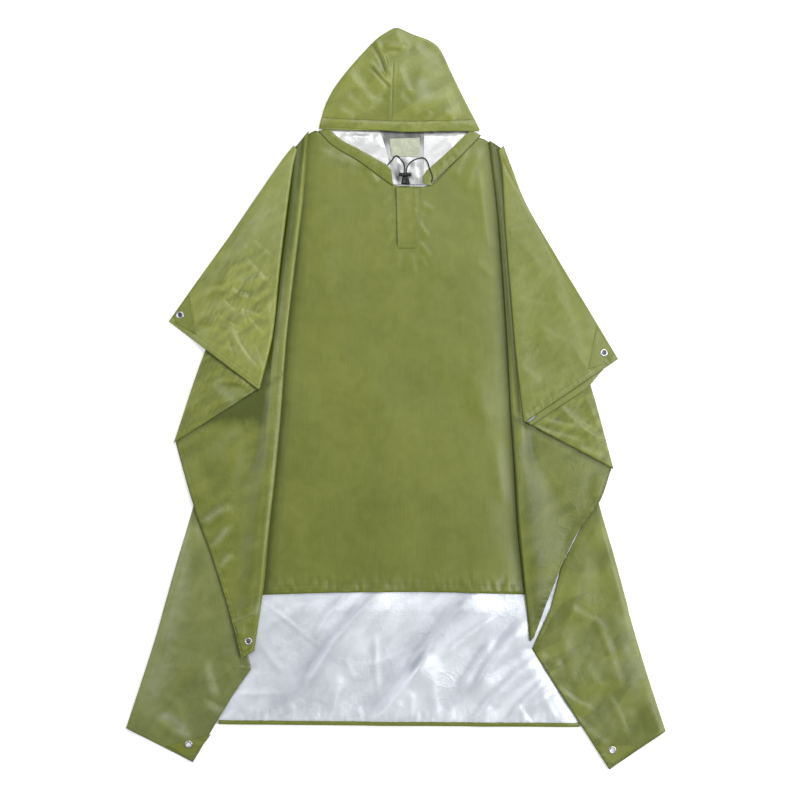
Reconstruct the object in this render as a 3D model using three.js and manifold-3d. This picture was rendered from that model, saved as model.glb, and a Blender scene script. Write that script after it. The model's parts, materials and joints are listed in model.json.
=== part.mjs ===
// Hooded rain poncho laid out flat on its back, with its sides folded in pleats.
// Millimetres. +X is the poncho's left-to-right as seen from above, +Y runs from hem to hood,
// +Z points up from the surface it lies on. The origin is the middle of its outline, on the surface.
import * as THREE from 'three';
import { mergeVertices } from 'three/addons/utils/BufferGeometryUtils.js';
import Module from 'manifold-3d';

const wasm = await Module();
wasm.setup();

// Driving dimensions
const wall = 1.2;              // coated cloth, drawn thicker than the fabric itself
const seamGap = 0.4;           // air between one layer and the next
const pitch = wall + seamGap;  // height of one layer
const patchWall = 1.0;
const eyelet = { outer: 16, bore: 8.6, barrel: 10, hole: 10.8, flange: 0.8,
  sunk: 0.1, segments: 24 };
const cord = { diameter: 2.5, sides: 8, stepDiameters: 2.5 };
const sideDrop = 120;          // width over which the pleats come down past the back panel
const cuffDrop = 45;           // width over which the sleeve comes down past the pleats
const cuffStart = 4;            // and the distance past their fold at which it starts

const green = { color: 0x6f8433, roughness: 0.42, metalness: 0.0 };
const silver = { color: 0xc9ccd6, roughness: 0.36, metalness: 0.35 };
const nickel = { color: 0xb9bbbd, roughness: 0.25, metalness: 1.0 };
const black = { color: 0x15161a, roughness: 0.7, metalness: 0.0 };
const charcoal = { color: 0x26272b, roughness: 0.45, metalness: 0.0 };

// Layer numbers, counted up from the surface
const layer = {
  back: 0, foldOver: 1, front: 1, pleatReturn: 2, wingUnder: 2, strip: 3,
  midFront: 4, midBack: 5, sleeveBack: 6, sleeveFront: 7,
  hoodBack: 0, hoodNeck: 1, hoodInner: 2, hoodTop: 3,
};

// Back panel, a row for each cross-section from the neck to the hem:
// the outer fold and the edge of the cloth folded over from it, on each side
const backRows = [
  { foldL: [-211, 531], edgeL: [-202, 531], foldR: [223, 523], edgeR: [214, 523] },
  { foldL: [-269, 418], edgeL: [-244, 418], foldR: [262, 418], edgeR: [250, 418] },
  { foldL: [-311, 292], edgeL: [-281, 292], foldR: [292, 292], edgeR: [260, 292] },
  { foldL: [-344, 166], edgeL: [-313, 166], foldR: [330, 166], edgeR: [296, 166] },
  { foldL: [-372, 40], edgeL: [-340, 40], foldR: [365, 40], edgeR: [334, 40] },
  { foldL: [-397, -86], edgeL: [-365, -86], foldR: [399, -86], edgeR: [372, -86] },
  { foldL: [-424, -218], edgeL: [-412, -233], foldR: [426, -218], edgeR: [408, -231] },
  { foldL: [-462, -349], edgeL: [-338, -412], foldR: [456, -323], edgeR: [346, -351] },
  { foldL: [-504, -498], edgeL: [-304, -566], foldR: [491, -456], edgeR: [285, -524] },
  { foldL: [-536, -598], edgeL: [-349, -632], foldR: [523, -565], edgeR: [351, -627] },
  { foldL: [-567, -691], edgeL: [-426, -762], foldR: [566, -697], edgeR: [447, -777] },
];
const backHemLeft = [-372, -681];
const backHemRight = [386, -687];
const backHemWidth = 10;
const backHemShare = [0.17, 0.84];  // where lines up from the ends of the hem cross the panel

// Front panel, a row for each cross-section: hidden turn under each pleat, the pleat's
// fold over the centre, and the outer edge of the cloth that runs out from it
const frontRows = [
  { edgeL: [-213, 524], foldL: [-183, 562], turnL: [-191, 552],
    edgeR: [218, 527], foldR: [195, 542], turnR: [206, 531] },
  { edgeL: [-290, 363], foldL: [-195, 418], turnL: [-227, 418],
    edgeR: [294, 342], foldR: [212, 407], turnR: [244, 407] },
  { edgeL: [-351, 214], foldL: [-213, 271], turnL: [-247, 271],
    edgeR: [355, 183], foldR: [223, 271], turnR: [256, 271] },
  { edgeL: [-407, 69], foldL: [-230, 124], turnL: [-265, 124],
    edgeR: [407, 15], foldR: [232, 134], turnR: [267, 134] },
  { edgeL: [-462, -92], foldL: [-242, -40], turnL: [-276, -23],
    edgeR: [452, -145], foldR: [240, -13], turnR: [275, -13] },
  { edgeL: [-426, -218], foldL: [-256, -183], turnL: [-287, -139],
    edgeR: [426, -216], foldR: [249, -149], turnR: [284, -128] },
  { edgeL: [-384, -334], foldL: [-267, -284], turnL: [-295, -233],
    edgeR: [376, -288], foldR: [256, -269], turnR: [290, -223] },
  { edgeL: [-349, -447], foldL: [-277, -391], turnL: [-303, -328],
    edgeR: [326, -401], foldR: [269, -397], turnR: [296, -317] },
  { edgeL: [-323, -544], foldL: [-297, -527], turnL: [-313, -411],
    edgeR: [296, -463], foldR: [280, -494], turnR: [300, -410] },
];
// Top edge of the front between the pleats, with the V of the neck
const neckline = [
  [-170, 563], [-155, 557], [-105, 522], [-53, 484], [0, 446], [59, 445],
  [78, 450], [111, 484], [143, 518], [172, 548], [185, 545],
];
const frontHemRise = 7;        // the front hem lies this much higher at its middle

// Side cloth, doubled and folded twice: a row for each ray from the shoulder to the hem
const leftWingRows = [
  { edge: [-238, 501], fold: [-216, 484], tuck: [-238, 484] },
  { edge: [-286, 433], fold: [-229, 391], tuck: [-294, 363] },
  { edge: [-349, 342], fold: [-244, 267], tuck: [-355, 214] },
  { edge: [-414, 252], fold: [-258, 134], tuck: [-412, 69] },
  { edge: [-477, 163], fold: [-285, 21], tuck: [-466, -92] },
];
const rightWingRows = [
  { edge: [240, 490], fold: [222, 476], tuck: [246, 468] },
  { edge: [273, 407], fold: [228, 365], tuck: [298, 342] },
  { edge: [340, 292], fold: [239, 227], tuck: [359, 183] },
  { edge: [403, 189], fold: [251, 90], tuck: [412, 15] },
  { edge: [466, 84], fold: [267, -48], tuck: [456, -147] },
];
const wingUnderWidth = 30;     // cloth tucked back under the outer fold

// Hood halves, a row for each ray from the brim to the outline, from the side to the crown seam
const hoodLeftRows = [
  { outline: [-162, 567], brim: [-141, 565] },
  { outline: [-158, 584], brim: [-124, 564] },
  { outline: [-147, 619], brim: [-104, 563] },
  { outline: [-127, 656], brim: [-85, 563] },
  { outline: [-89, 704], brim: [-66, 563] },
  { outline: [-44, 752], brim: [-46, 563] },
  { outline: [-17, 771], brim: [-28, 563] },
  { outline: [-4.3, 778], brim: [-10.3, 563] },
];
const hoodRightRows = [
  { outline: [-3.7, 778], brim: [-9.7, 563] },
  { outline: [8, 777], brim: [12, 563] },
  { outline: [32, 766], brim: [36, 563] },
  { outline: [71, 751], brim: [62, 563] },
  { outline: [93, 732], brim: [86, 563] },
  { outline: [114, 688], brim: [108, 563] },
  { outline: [141, 632], brim: [130, 563] },
  { outline: [163, 590], brim: [146, 563] },
  { outline: [176, 564], brim: [158, 563] },
];
// Casing round the hood's mouth, a row for each station across it
const brimRows = [
  { edge: [-157, 569], stitch: [-143, 589] },
  { edge: [-100, 567.5], stitch: [-90, 585] },
  { edge: [-41, 563.5], stitch: [-38, 583] },
  { edge: [26, 559.5], stitch: [26, 581] },
  { edge: [90, 561], stitch: [85, 582] },
  { edge: [170, 560], stitch: [139, 583] },
];
// Inside of the hood seen through its mouth, a row for each height
const hoodNeckRows = [
  { left: [-130, 594], right: [147, 594] },
  { left: [-138, 566], right: [153, 563] },
  { left: [-97, 523], right: [137, 523] },
  { left: [-53, 491], right: [107, 491] },
  { left: [-3, 449], right: [64, 449] },
];
const innerLeftRows = [
  { left: [-142, 580], right: [-34, 580] },
  { left: [-137, 562], right: [-33, 562] },
  { left: [-118, 545], right: [-28, 545] },
  { left: [-82, 524], right: [-21, 524] },
  { left: [-46, 503], right: [-16, 503] },
  { left: [-20, 485], right: [-11, 485] },
];
const innerRightRows = [
  { left: [57, 580], right: [150, 580] },
  { left: [57, 562], right: [148, 562] },
  { left: [58, 545], right: [139, 545] },
  { left: [58, 523], right: [118, 523] },
  { left: [58, 500], right: [97, 500] },
  { left: [58, 470], right: [69, 470] },
];
// Casings along the V, a row for each station from the shoulder down
const leftBandRows = [
  { inner: [-138, 562], outer: [-163, 560] },
  { inner: [-122, 549], outer: [-131, 530] },
  { inner: [-76, 523], outer: [-78, 498] },
  { inner: [-25, 494], outer: [-36, 467] },
  { inner: [-10, 481], outer: [-6, 446] },
];
const rightBandRows = [
  { inner: [152, 562], outer: [179, 553] },
  { inner: [112, 521], outer: [138, 511] },
  { inner: [78, 485], outer: [112, 483] },
  { inner: [59, 466], outer: [80, 451] },
  { inner: [58, 452], outer: [78, 447] },
];

const placket = { corners: [[0.5, 443], [52, 443], [41, 316], [4, 316]] };
const blankPatch = { corners: [[-14, 546], [50, 548], [50, 508], [-10, 509]] };
const patches = {
  cuff_left: { on: 'sleeveFront', corners: [[-433, 222], [-467, 174], [-462, 158], [-418, 134]] },
  cuff_right: { on: 'sleeveFront', corners: [[421, 153], [457, 96], [452, 78], [402, 62]] },
  front_left: { on: 'strip', corners: [[-338, -470], [-288, -446], [-301, -518], [-321, -534]] },
  back_left: { on: 'foldOver', corners: [[-483, -727], [-388, -703], [-421, -748], [-437, -752]] },
  back_right: { on: 'foldOver', corners: [[416, -727], [512, -727], [455, -766], [440, -762]] },
};
const eyeletPlaces = {
  cuff_left: [-453, 176], cuff_right: [436, 97], front_left: [-309, -507],
  back_left: [-435, -724], back_right: [454, -736],
};

// Draw cord: two strands that come out of the casings and meet in the cord lock
const cordLeft = [
  [-18.2, 490.2, 6.4], [-15.5, 493, 6.3], [-12, 496.5, 6.3], [-8.5, 500.5, 6.3], [-6, 504.5, 6.3],
  [-3, 508, 6.3], [1, 509.8, 6.3], [5, 508.2, 6.3], [8.5, 505, 6.3], [11.8, 501, 6.3],
  [14.5, 497, 6.4], [16.3, 493, 6.6], [17.6, 488.5, 7], [18.2, 484, 7.5], [18.3, 479.5, 7.9],
  [18.2, 474.4, 8],
];
const cordRight = [
  [21.9, 474.4, 8], [22, 480, 7.8], [23, 485, 7.2], [25.5, 490, 6.6], [29, 494.5, 6.3],
  [34, 499, 6.3], [39.5, 502, 6.3], [46, 504.3, 6.3], [53, 505.8, 6.4], [58, 505.3, 6.5],
  [62.5, 502, 6.6], [66, 497, 6.8], [68.3, 491, 7.1], [69.8, 485, 7.6], [71.6, 479, 7.9],
  [74.2, 473, 7.9], [76, 466.5, 7.9], [76, 460, 7.9], [74.6, 454.5, 7.9],
];
const lock = {
  bar: { x: [6.3, 32.3], y: [466.6, 474], z: [3.4, 12.6], radius: 3 },
  body: { x: [10.5, 29.4], y: [449.4, 466.2], z: [3.4, 13.2], radius: 4 },
};

const lerp = (a, b, t) => a + (b - a) * t;
const mix = (p, q, t) => [lerp(p[0], q[0], t), lerp(p[1], q[1], t)];
const smooth = (t) => {
  const c = Math.min(1, Math.max(0, t));
  return c * c * (3 - 2 * c);
};

// Where a line of the table stands at a height y
function lineAt(points, y) {
  let i = 0;
  while (i < points.length - 2 && points[i + 1][1] > y) i += 1;
  const [a, b] = [points[i], points[i + 1]];
  const t = Math.min(1, Math.max(0, (a[1] - y) / (a[1] - b[1])));
  return lerp(a[0], b[0], t);
}

const backFolds = [backRows.map((r) => r.foldL), backRows.map((r) => r.foldR)];
const wingTucks = [leftWingRows.map((r) => r.tuck), rightWingRows.map((r) => r.tuck)];

// Middle height of a layer. The pleats sink past the edge of the back panel, and the
// sleeve layers sink again past the pleats, so that the cuffs lie on the surface.
function layerHeight(number, x, y) {
  const side = x < 0 ? 0 : 1;
  let z = pitch * number + wall / 2;
  if (number >= layer.pleatReturn) {
    const past = Math.abs(x) - Math.abs(lineAt(backFolds[side], y));
    z -= 2 * pitch * smooth(past / sideDrop);
  }
  if (number >= layer.sleeveBack) {
    const past = Math.abs(x) - Math.abs(lineAt(wingTucks[side], y)) - cuffStart;
    z -= 4 * pitch * smooth(past / cuffDrop);
  }
  return z;
}

// A section is a path of points, each with the direction in which the cloth's face looks
class Section {
  constructor() {
    this.points = [];
    this.side = 1;
  }

  place(number, [x, y]) {
    this.points.push({ p: [x, y, layerHeight(number, x, y)], n: [0, 0, this.side] });
  }

  run(number, from, to, steps, skipFirst = false) {
    for (let i = skipFirst ? 1 : 0; i <= steps; i += 1) {
      this.place(number, mix(from, to, i / steps));
    }
    return this;
  }

  // Half turn from one layer to another about a centre, bulging along a level direction
  turn(centre, out, low, high, steps) {
    const up = high > low;
    const z = (layerHeight(low, ...centre) + layerHeight(high, ...centre)) / 2;
    const radius = Math.abs(high - low) * pitch / 2;
    const sign = up ? -this.side : this.side;
    for (let i = 0; i <= steps; i += 1) {
      const angle = (up ? 1 : -1) * Math.PI * (i / steps - 0.5);
      const [c, s] = [Math.cos(angle), Math.sin(angle)];
      const p = [centre[0] + radius * c * out[0], centre[1] + radius * c * out[1], z + radius * s];
      this.points.push({ p, n: [sign * c * out[0], sign * c * out[1], sign * s] });
    }
    this.side = -this.side;
    return this;
  }
}

function unit(from, to) {
  const d = Math.hypot(to[0] - from[0], to[1] - from[1]);
  return [(to[0] - from[0]) / d, (to[1] - from[1]) / d];
}

// Centre of a fold whose outermost face lies on the fold line
function foldCentre(foldPoint, out, layers) {
  const back = wall / 2 + layers * pitch / 2;
  return [foldPoint[0] - out[0] * back, foldPoint[1] - out[1] * back];
}

function bothWays(a, b) {
  const sum = [a[0] + b[0], a[1] + b[1]];
  const d = Math.hypot(...sum);
  return [sum[0] / d, sum[1] / d];
}

// Solid cloth of even thickness through a list of sections with equal numbers of points
function clothSolid(sections, thickness = wall) {
  const count = sections[0].points.length;
  const position = [];
  for (const section of sections) {
    for (const face of [1, -1]) {
      for (const { p, n } of section.points) {
        position.push(...p.map((v, k) => v + face * n[k] * thickness / 2));
      }
    }
  }
  const at = (row, face, i) => row * 2 * count + face * count + i;
  const index = [];
  const quad = (a, b, c, d) => index.push(a, b, c, a, c, d);
  const last = sections.length - 1;
  for (let r = 0; r < last; r += 1) {
    for (let i = 0; i < count - 1; i += 1) {
      quad(at(r, 0, i), at(r, 0, i + 1), at(r + 1, 0, i + 1), at(r + 1, 0, i));
      index.push(at(r, 1, i), at(r + 1, 1, i + 1), at(r, 1, i + 1));
      index.push(at(r, 1, i), at(r + 1, 1, i), at(r + 1, 1, i + 1));
    }
    quad(at(r, 0, 0), at(r + 1, 0, 0), at(r + 1, 1, 0), at(r, 1, 0));
    const e = count - 1;
    quad(at(r, 0, e), at(r, 1, e), at(r + 1, 1, e), at(r + 1, 0, e));
  }
  for (let i = 0; i < count - 1; i += 1) {
    quad(at(0, 0, i), at(0, 1, i), at(0, 1, i + 1), at(0, 0, i + 1));
    quad(at(last, 0, i), at(last, 0, i + 1), at(last, 1, i + 1), at(last, 1, i));
  }
  return outward(position, index);
}

// Geometry with its faces turned outwards
function outward(position, index) {
  let volume = 0;
  const v = (i) => new THREE.Vector3().fromArray(position, 3 * i);
  for (let i = 0; i < index.length; i += 3) {
    volume += v(index[i]).dot(v(index[i + 1]).cross(v(index[i + 2])));
  }
  if (volume < 0) index.reverse();
  const geometry = new THREE.BufferGeometry();
  geometry.setAttribute('position', new THREE.Float32BufferAttribute(position, 3));
  geometry.setIndex(index);
  return geometry;
}

function toManifold(geometry) {
  const bare = geometry.clone();
  bare.deleteAttribute('normal');
  bare.deleteAttribute('uv');
  const merged = mergeVertices(bare, 1e-4);
  return new wasm.Manifold(new wasm.Mesh({
    numProp: 3,
    vertProperties: new Float32Array(merged.attributes.position.array),
    triVerts: new Uint32Array(merged.index.array),
  }));
}

function fromManifold(solid) {
  const { vertProperties, triVerts } = solid.getMesh();
  const geometry = new THREE.BufferGeometry();
  geometry.setAttribute('position', new THREE.Float32BufferAttribute(vertProperties, 3));
  geometry.setIndex(Array.from(triVerts));
  return geometry;
}

// Heights between which a hole is cut: through every layer, or only through the pleat
const everyLayer = { low: -1, high: 12 };
const pleatOnly = { low: 3.6, high: 9 };

// Round holes through the cloth, from one height to another
function punched(geometry, holes) {
  let solid = toManifold(geometry);
  for (const { place, low, high } of holes) {
    const tool = new THREE.CylinderGeometry(eyelet.hole / 2, eyelet.hole / 2, high - low, 16);
    tool.rotateX(Math.PI / 2);
    tool.translate(place[0], place[1], (low + high) / 2);
    solid = solid.subtract(toManifold(tool));
  }
  return fromManifold(solid);
}

// Rows of the table with evenly placed ones added between them
function denser(rows, parts) {
  const out = [rows[0]];
  for (let r = 0; r < rows.length - 1; r += 1) {
    for (let s = 1; s <= parts; s += 1) {
      const row = {};
      for (const key of Object.keys(rows[r])) {
        row[key] = mix(rows[r][key], rows[r + 1][key], s / parts);
      }
      out.push(row);
    }
  }
  return out;
}

function backPanel() {
  const turnSteps = 3;
  const sections = backRows.map((row, r) => {
    const bottom = r === backRows.length - 1;
    const outL = unit(row.foldR, row.foldL);
    const outR = unit(row.foldL, row.foldR);
    const cL = foldCentre(row.foldL, outL, 1);
    const cR = foldCentre(row.foldR, outR, 1);
    const section = new Section();
    section.run(layer.foldOver, row.edgeL, cL, 3);
    section.points.pop();
    section.turn(cL, outL, layer.foldOver, layer.back, turnSteps);
    const hemL = bottom ? backHemLeft : mix(cL, cR, backHemShare[0]);
    const hemR = bottom ? backHemRight : mix(cL, cR, backHemShare[1]);
    section.run(layer.back, cL, hemL, 1, true);
    section.run(layer.back, hemL, hemR, 3, true);
    section.run(layer.back, hemR, cR, 1, true);
    section.points.pop();
    section.turn(cR, outR, layer.back, layer.foldOver, turnSteps);
    section.run(layer.foldOver, cR, row.edgeR, 3, true);
    return section;
  });
  const holes = ['back_left', 'back_right'].map((name) => (
    { place: eyeletPlaces[name], ...everyLayer }
  ));
  return punched(clothSolid(sections), holes);
}

function backHem() {
  const inset = 2.5;
  const [start, end, parts] = [0.012, 0.985, 4];
  const rows = Array.from({ length: parts + 1 }, (_, i) => {
    const t = lerp(start, end, i / parts);
    const [x, y] = mix(backHemLeft, backHemRight, t);
    return new Section().run(layer.foldOver, [x, y + inset], [x, y + inset + backHemWidth], 1);
  });
  return clothSolid(rows);
}

function frontPanel() {
  const stripSteps = 5;
  const turnSteps = 3;
  const top = frontRows[0];
  const hem = frontRows[frontRows.length - 1];
  const sections = frontRows.map((row) => {
    const section = new Section();
    const outFoldL = unit(row.edgeL, row.foldL);
    const outTurnL = unit(row.foldL, row.turnL);
    const foldL = foldCentre(row.foldL, outFoldL, 1);
    const turnL = foldCentre(row.turnL, outTurnL, 1);
    const outFoldR = unit(row.edgeR, row.foldR);
    const outTurnR = unit(row.foldR, row.turnR);
    const foldR = foldCentre(row.foldR, outFoldR, 1);
    const turnR = foldCentre(row.turnR, outTurnR, 1);
    section.run(layer.strip, row.edgeL, foldL, stripSteps);
    section.points.pop();
    section.turn(foldL, outFoldL, layer.strip, layer.pleatReturn, turnSteps);
    section.turn(turnL, outTurnL, layer.pleatReturn, layer.front, turnSteps);
    const down = (top.turnL[1] - row.turnL[1]) / (top.turnL[1] - hem.turnL[1]);
    for (const [x, y] of neckline) {
      const across = (x - top.turnL[0]) / (top.turnR[0] - top.turnL[0]);
      const end = mix(hem.turnL, hem.turnR, across);
      end[1] += frontHemRise * Math.sin(Math.PI * across);
      section.place(layer.front, mix([x, y], end, down));
    }
    section.turn(turnR, outTurnR, layer.front, layer.pleatReturn, turnSteps);
    section.turn(foldR, outFoldR, layer.pleatReturn, layer.strip, turnSteps);
    section.run(layer.strip, foldR, row.edgeR, stripSteps, true);
    return section;
  });
  const holes = [{ place: eyeletPlaces.front_left, ...pleatOnly }];
  return punched(clothSolid(sections), holes);
}

function wing(rows, eyeletPlace) {
  const smallTurn = 3;
  const bigTurn = 4;
  const midSteps = 5;
  const sleeveSteps = 12;
  const endGap = 1.5;
  const sections = denser(rows, 2).map(({ edge, fold, tuck }) => {
    const section = new Section();
    const outTuck = unit(fold, tuck);
    const outEdge = unit(fold, edge);
    const outFold = bothWays(unit(tuck, fold), unit(edge, fold));
    const tuckC = foldCentre(tuck, outTuck, 3);
    const foldC = foldCentre(fold, outFold, 3);
    const edgeC = foldCentre(edge, outEdge, 1);
    const under = Math.min(wingUnderWidth, 0.4 * Math.hypot(tuck[0] - fold[0], tuck[1] - fold[1]));
    const inner = [tuckC[0] - outTuck[0] * under, tuckC[1] - outTuck[1] * under];
    const end = [tuckC[0] - outTuck[0] * endGap, tuckC[1] - outTuck[1] * endGap];
    section.run(layer.wingUnder, inner, tuckC, 1);
    section.points.pop();
    section.turn(tuckC, outTuck, layer.wingUnder, layer.midBack, bigTurn);
    section.run(layer.midBack, tuckC, foldC, midSteps, true);
    section.points.pop();
    section.turn(foldC, outFold, layer.midBack, layer.sleeveBack, smallTurn);
    section.run(layer.sleeveBack, foldC, edgeC, sleeveSteps, true);
    section.points.pop();
    section.turn(edgeC, outEdge, layer.sleeveBack, layer.sleeveFront, smallTurn);
    section.run(layer.sleeveFront, edgeC, foldC, sleeveSteps, true);
    section.points.pop();
    section.turn(foldC, outFold, layer.sleeveFront, layer.midFront, bigTurn);
    section.run(layer.midFront, foldC, end, midSteps, true);
    return section;
  });
  return punched(clothSolid(sections), [{ place: eyeletPlace, ...everyLayer }]);
}

function hoodHalf(rows) {
  const sections = rows.map(({ outline, brim }) => {
    const out = unit(brim, outline);
    const centre = foldCentre(outline, out, layer.hoodTop - layer.hoodBack);
    const section = new Section().run(layer.hoodTop, brim, centre, 2);
    section.points.pop();
    section.turn(centre, out, layer.hoodTop, layer.hoodBack, 4);
    return section.run(layer.hoodBack, centre, brim, 2, true);
  });
  return clothSolid(sections);
}

// Flat piece through rows that name its two sides
function acrossRows(rows, number, from, to, steps = 2) {
  return clothSolid(rows.map((row) => new Section().run(number, row[from], row[to], steps)));
}

// Casing that lies on the front panel along its outer edge and steps up over the hood's sides
function neckBand(rows) {
  const [stepStart, stepEnd] = [0.45, 0.8875];
  const sections = rows.map(({ inner, outer }) => {
    const section = new Section().run(layer.hoodTop, inner, mix(inner, outer, stepStart), 1);
    return section.run(layer.hoodInner, mix(inner, outer, stepEnd), outer, 1);
  });
  return clothSolid(sections);
}

// Patch of four corners, laid on a layer and following its fall
function plate(corners, number, steps = 3, thickness = patchWall) {
  const [a, b, c, d] = corners;
  const sections = [];
  for (let i = 0; i <= steps; i += 1) {
    const from = mix(a, d, i / steps);
    const to = mix(b, c, i / steps);
    sections.push(new Section().run(number, from, to, steps));
  }
  return clothSolid(sections, thickness);
}

function patch(name) {
  const { on, corners } = patches[name];
  const place = eyeletPlaces[name];
  return punched(plate(corners, layer[on] + 1), [{ place, ...everyLayer }]);
}

// Metal ring: a rolled flange on top and a barrel down through the cloth
function eyeletRing(name) {
  const { on } = patches[name];
  const [x, y] = eyeletPlaces[name];
  const doubled = on === 'sleeveFront' ? 2 : 1;
  const [ro, ri, rb] = [eyelet.outer / 2, eyelet.bore / 2, eyelet.barrel / 2];
  const rim = [];
  for (let a = 0; a < 2 * Math.PI; a += Math.PI / 4) {
    rim.push(layerHeight(layer[on] + 1, x + Math.cos(a) * ro, y + Math.sin(a) * ro));
  }
  const top = Math.max(...rim) + patchWall / 2 + seamGap;
  const bottom = layerHeight(layer[on] - doubled + 1, x, y) - wall / 2 + eyelet.sunk;
  const roll = eyelet.flange / 2;
  const roundOff = 1;
  const profile = [
    [ri, bottom], [rb, bottom], [rb, top], [ro, top], [ro, top + roll],
    [ro - roundOff, top + eyelet.flange + roll], [ri + roundOff, top + eyelet.flange + roll],
    [ri, top + roll], [ri, bottom],
  ].map(([r, z]) => new THREE.Vector2(r, z));
  const ring = new THREE.LatheGeometry(profile, eyelet.segments);
  ring.rotateX(Math.PI / 2);
  ring.translate(x, y, 0);
  return ring;
}

function cordTube(route) {
  const curve = new THREE.CatmullRomCurve3(route.map((p) => new THREE.Vector3(...p)));
  const shape = new THREE.Shape();
  for (let i = 0; i < cord.sides; i += 1) {
    const a = 2 * Math.PI * i / cord.sides;
    const [x, y] = [Math.cos(a) * cord.diameter / 2, Math.sin(a) * cord.diameter / 2];
    if (i === 0) shape.moveTo(x, y);
    else shape.lineTo(x, y);
  }
  shape.closePath();
  const steps = Math.round(curve.getLength() / (cord.diameter * cord.stepDiameters));
  return new THREE.ExtrudeGeometry(shape, { steps, extrudePath: curve, bevelEnabled: false });
}

// Moulded block with rounded long edges, lying along Y
function roundedBlock({ x, y, z, radius }) {
  const shape = new THREE.Shape();
  shape.moveTo(x[0] + radius, z[0]);
  shape.lineTo(x[1] - radius, z[0]);
  shape.absarc(x[1] - radius, z[0] + radius, radius, -Math.PI / 2, 0);
  shape.absarc(x[1] - radius, z[1] - radius, radius, 0, Math.PI / 2);
  shape.absarc(x[0] + radius, z[1] - radius, radius, Math.PI / 2, Math.PI);
  shape.absarc(x[0] + radius, z[0] + radius, radius, Math.PI, 1.5 * Math.PI);
  const block = new THREE.ExtrudeGeometry(shape, {
    depth: y[1] - y[0], bevelEnabled: false, curveSegments: 4,
  });
  block.rotateX(Math.PI / 2);
  block.translate(0, y[1], 0);
  return block;
}

const poncho = new THREE.Group();

function add(name, geometry, look) {
  const mesh = new THREE.Mesh(geometry, new THREE.MeshStandardMaterial(look));
  mesh.name = name;
  poncho.add(mesh);
}

add('back_panel', backPanel(), silver);
add('back_hem', backHem(), green);
add('front_panel', frontPanel(), green);
add('left_sleeve', wing(leftWingRows, eyeletPlaces.cuff_left), green);
add('right_sleeve', wing(rightWingRows, eyeletPlaces.cuff_right), green);
add('hood_left', hoodHalf(hoodLeftRows), green);
add('hood_right', hoodHalf(hoodRightRows), green);
add('hood_brim', acrossRows(brimRows, layer.hoodTop + 1, 'edge', 'stitch'), green);
add('hood_neck', acrossRows(hoodNeckRows, layer.hoodNeck, 'left', 'right', 4), silver);
add('hood_inner_left', acrossRows(innerLeftRows, layer.hoodInner, 'left', 'right'), silver);
add('hood_inner_right', acrossRows(innerRightRows, layer.hoodInner, 'left', 'right'), silver);
add('blank_patch', plate(blankPatch.corners, layer.hoodInner, 2), silver);
add('neck_band_left', neckBand(leftBandRows), green);
add('neck_band_right', neckBand(rightBandRows), green);
add('placket', plate(placket.corners, layer.front + 1, 2), green);
for (const name of Object.keys(patches)) {
  add(`patch_${name}`, patch(name), green);
  add(`eyelet_${name}`, eyeletRing(name), nickel);
}
add('drawcord_left', cordTube(cordLeft), black);
add('drawcord_right', cordTube(cordRight), black);
add('cord_lock_body', roundedBlock(lock.body), charcoal);
add('cord_lock_bar', roundedBlock(lock.bar), charcoal);

export default poncho;
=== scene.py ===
import json
import math
from bisect import bisect_right
from itertools import accumulate

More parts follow.
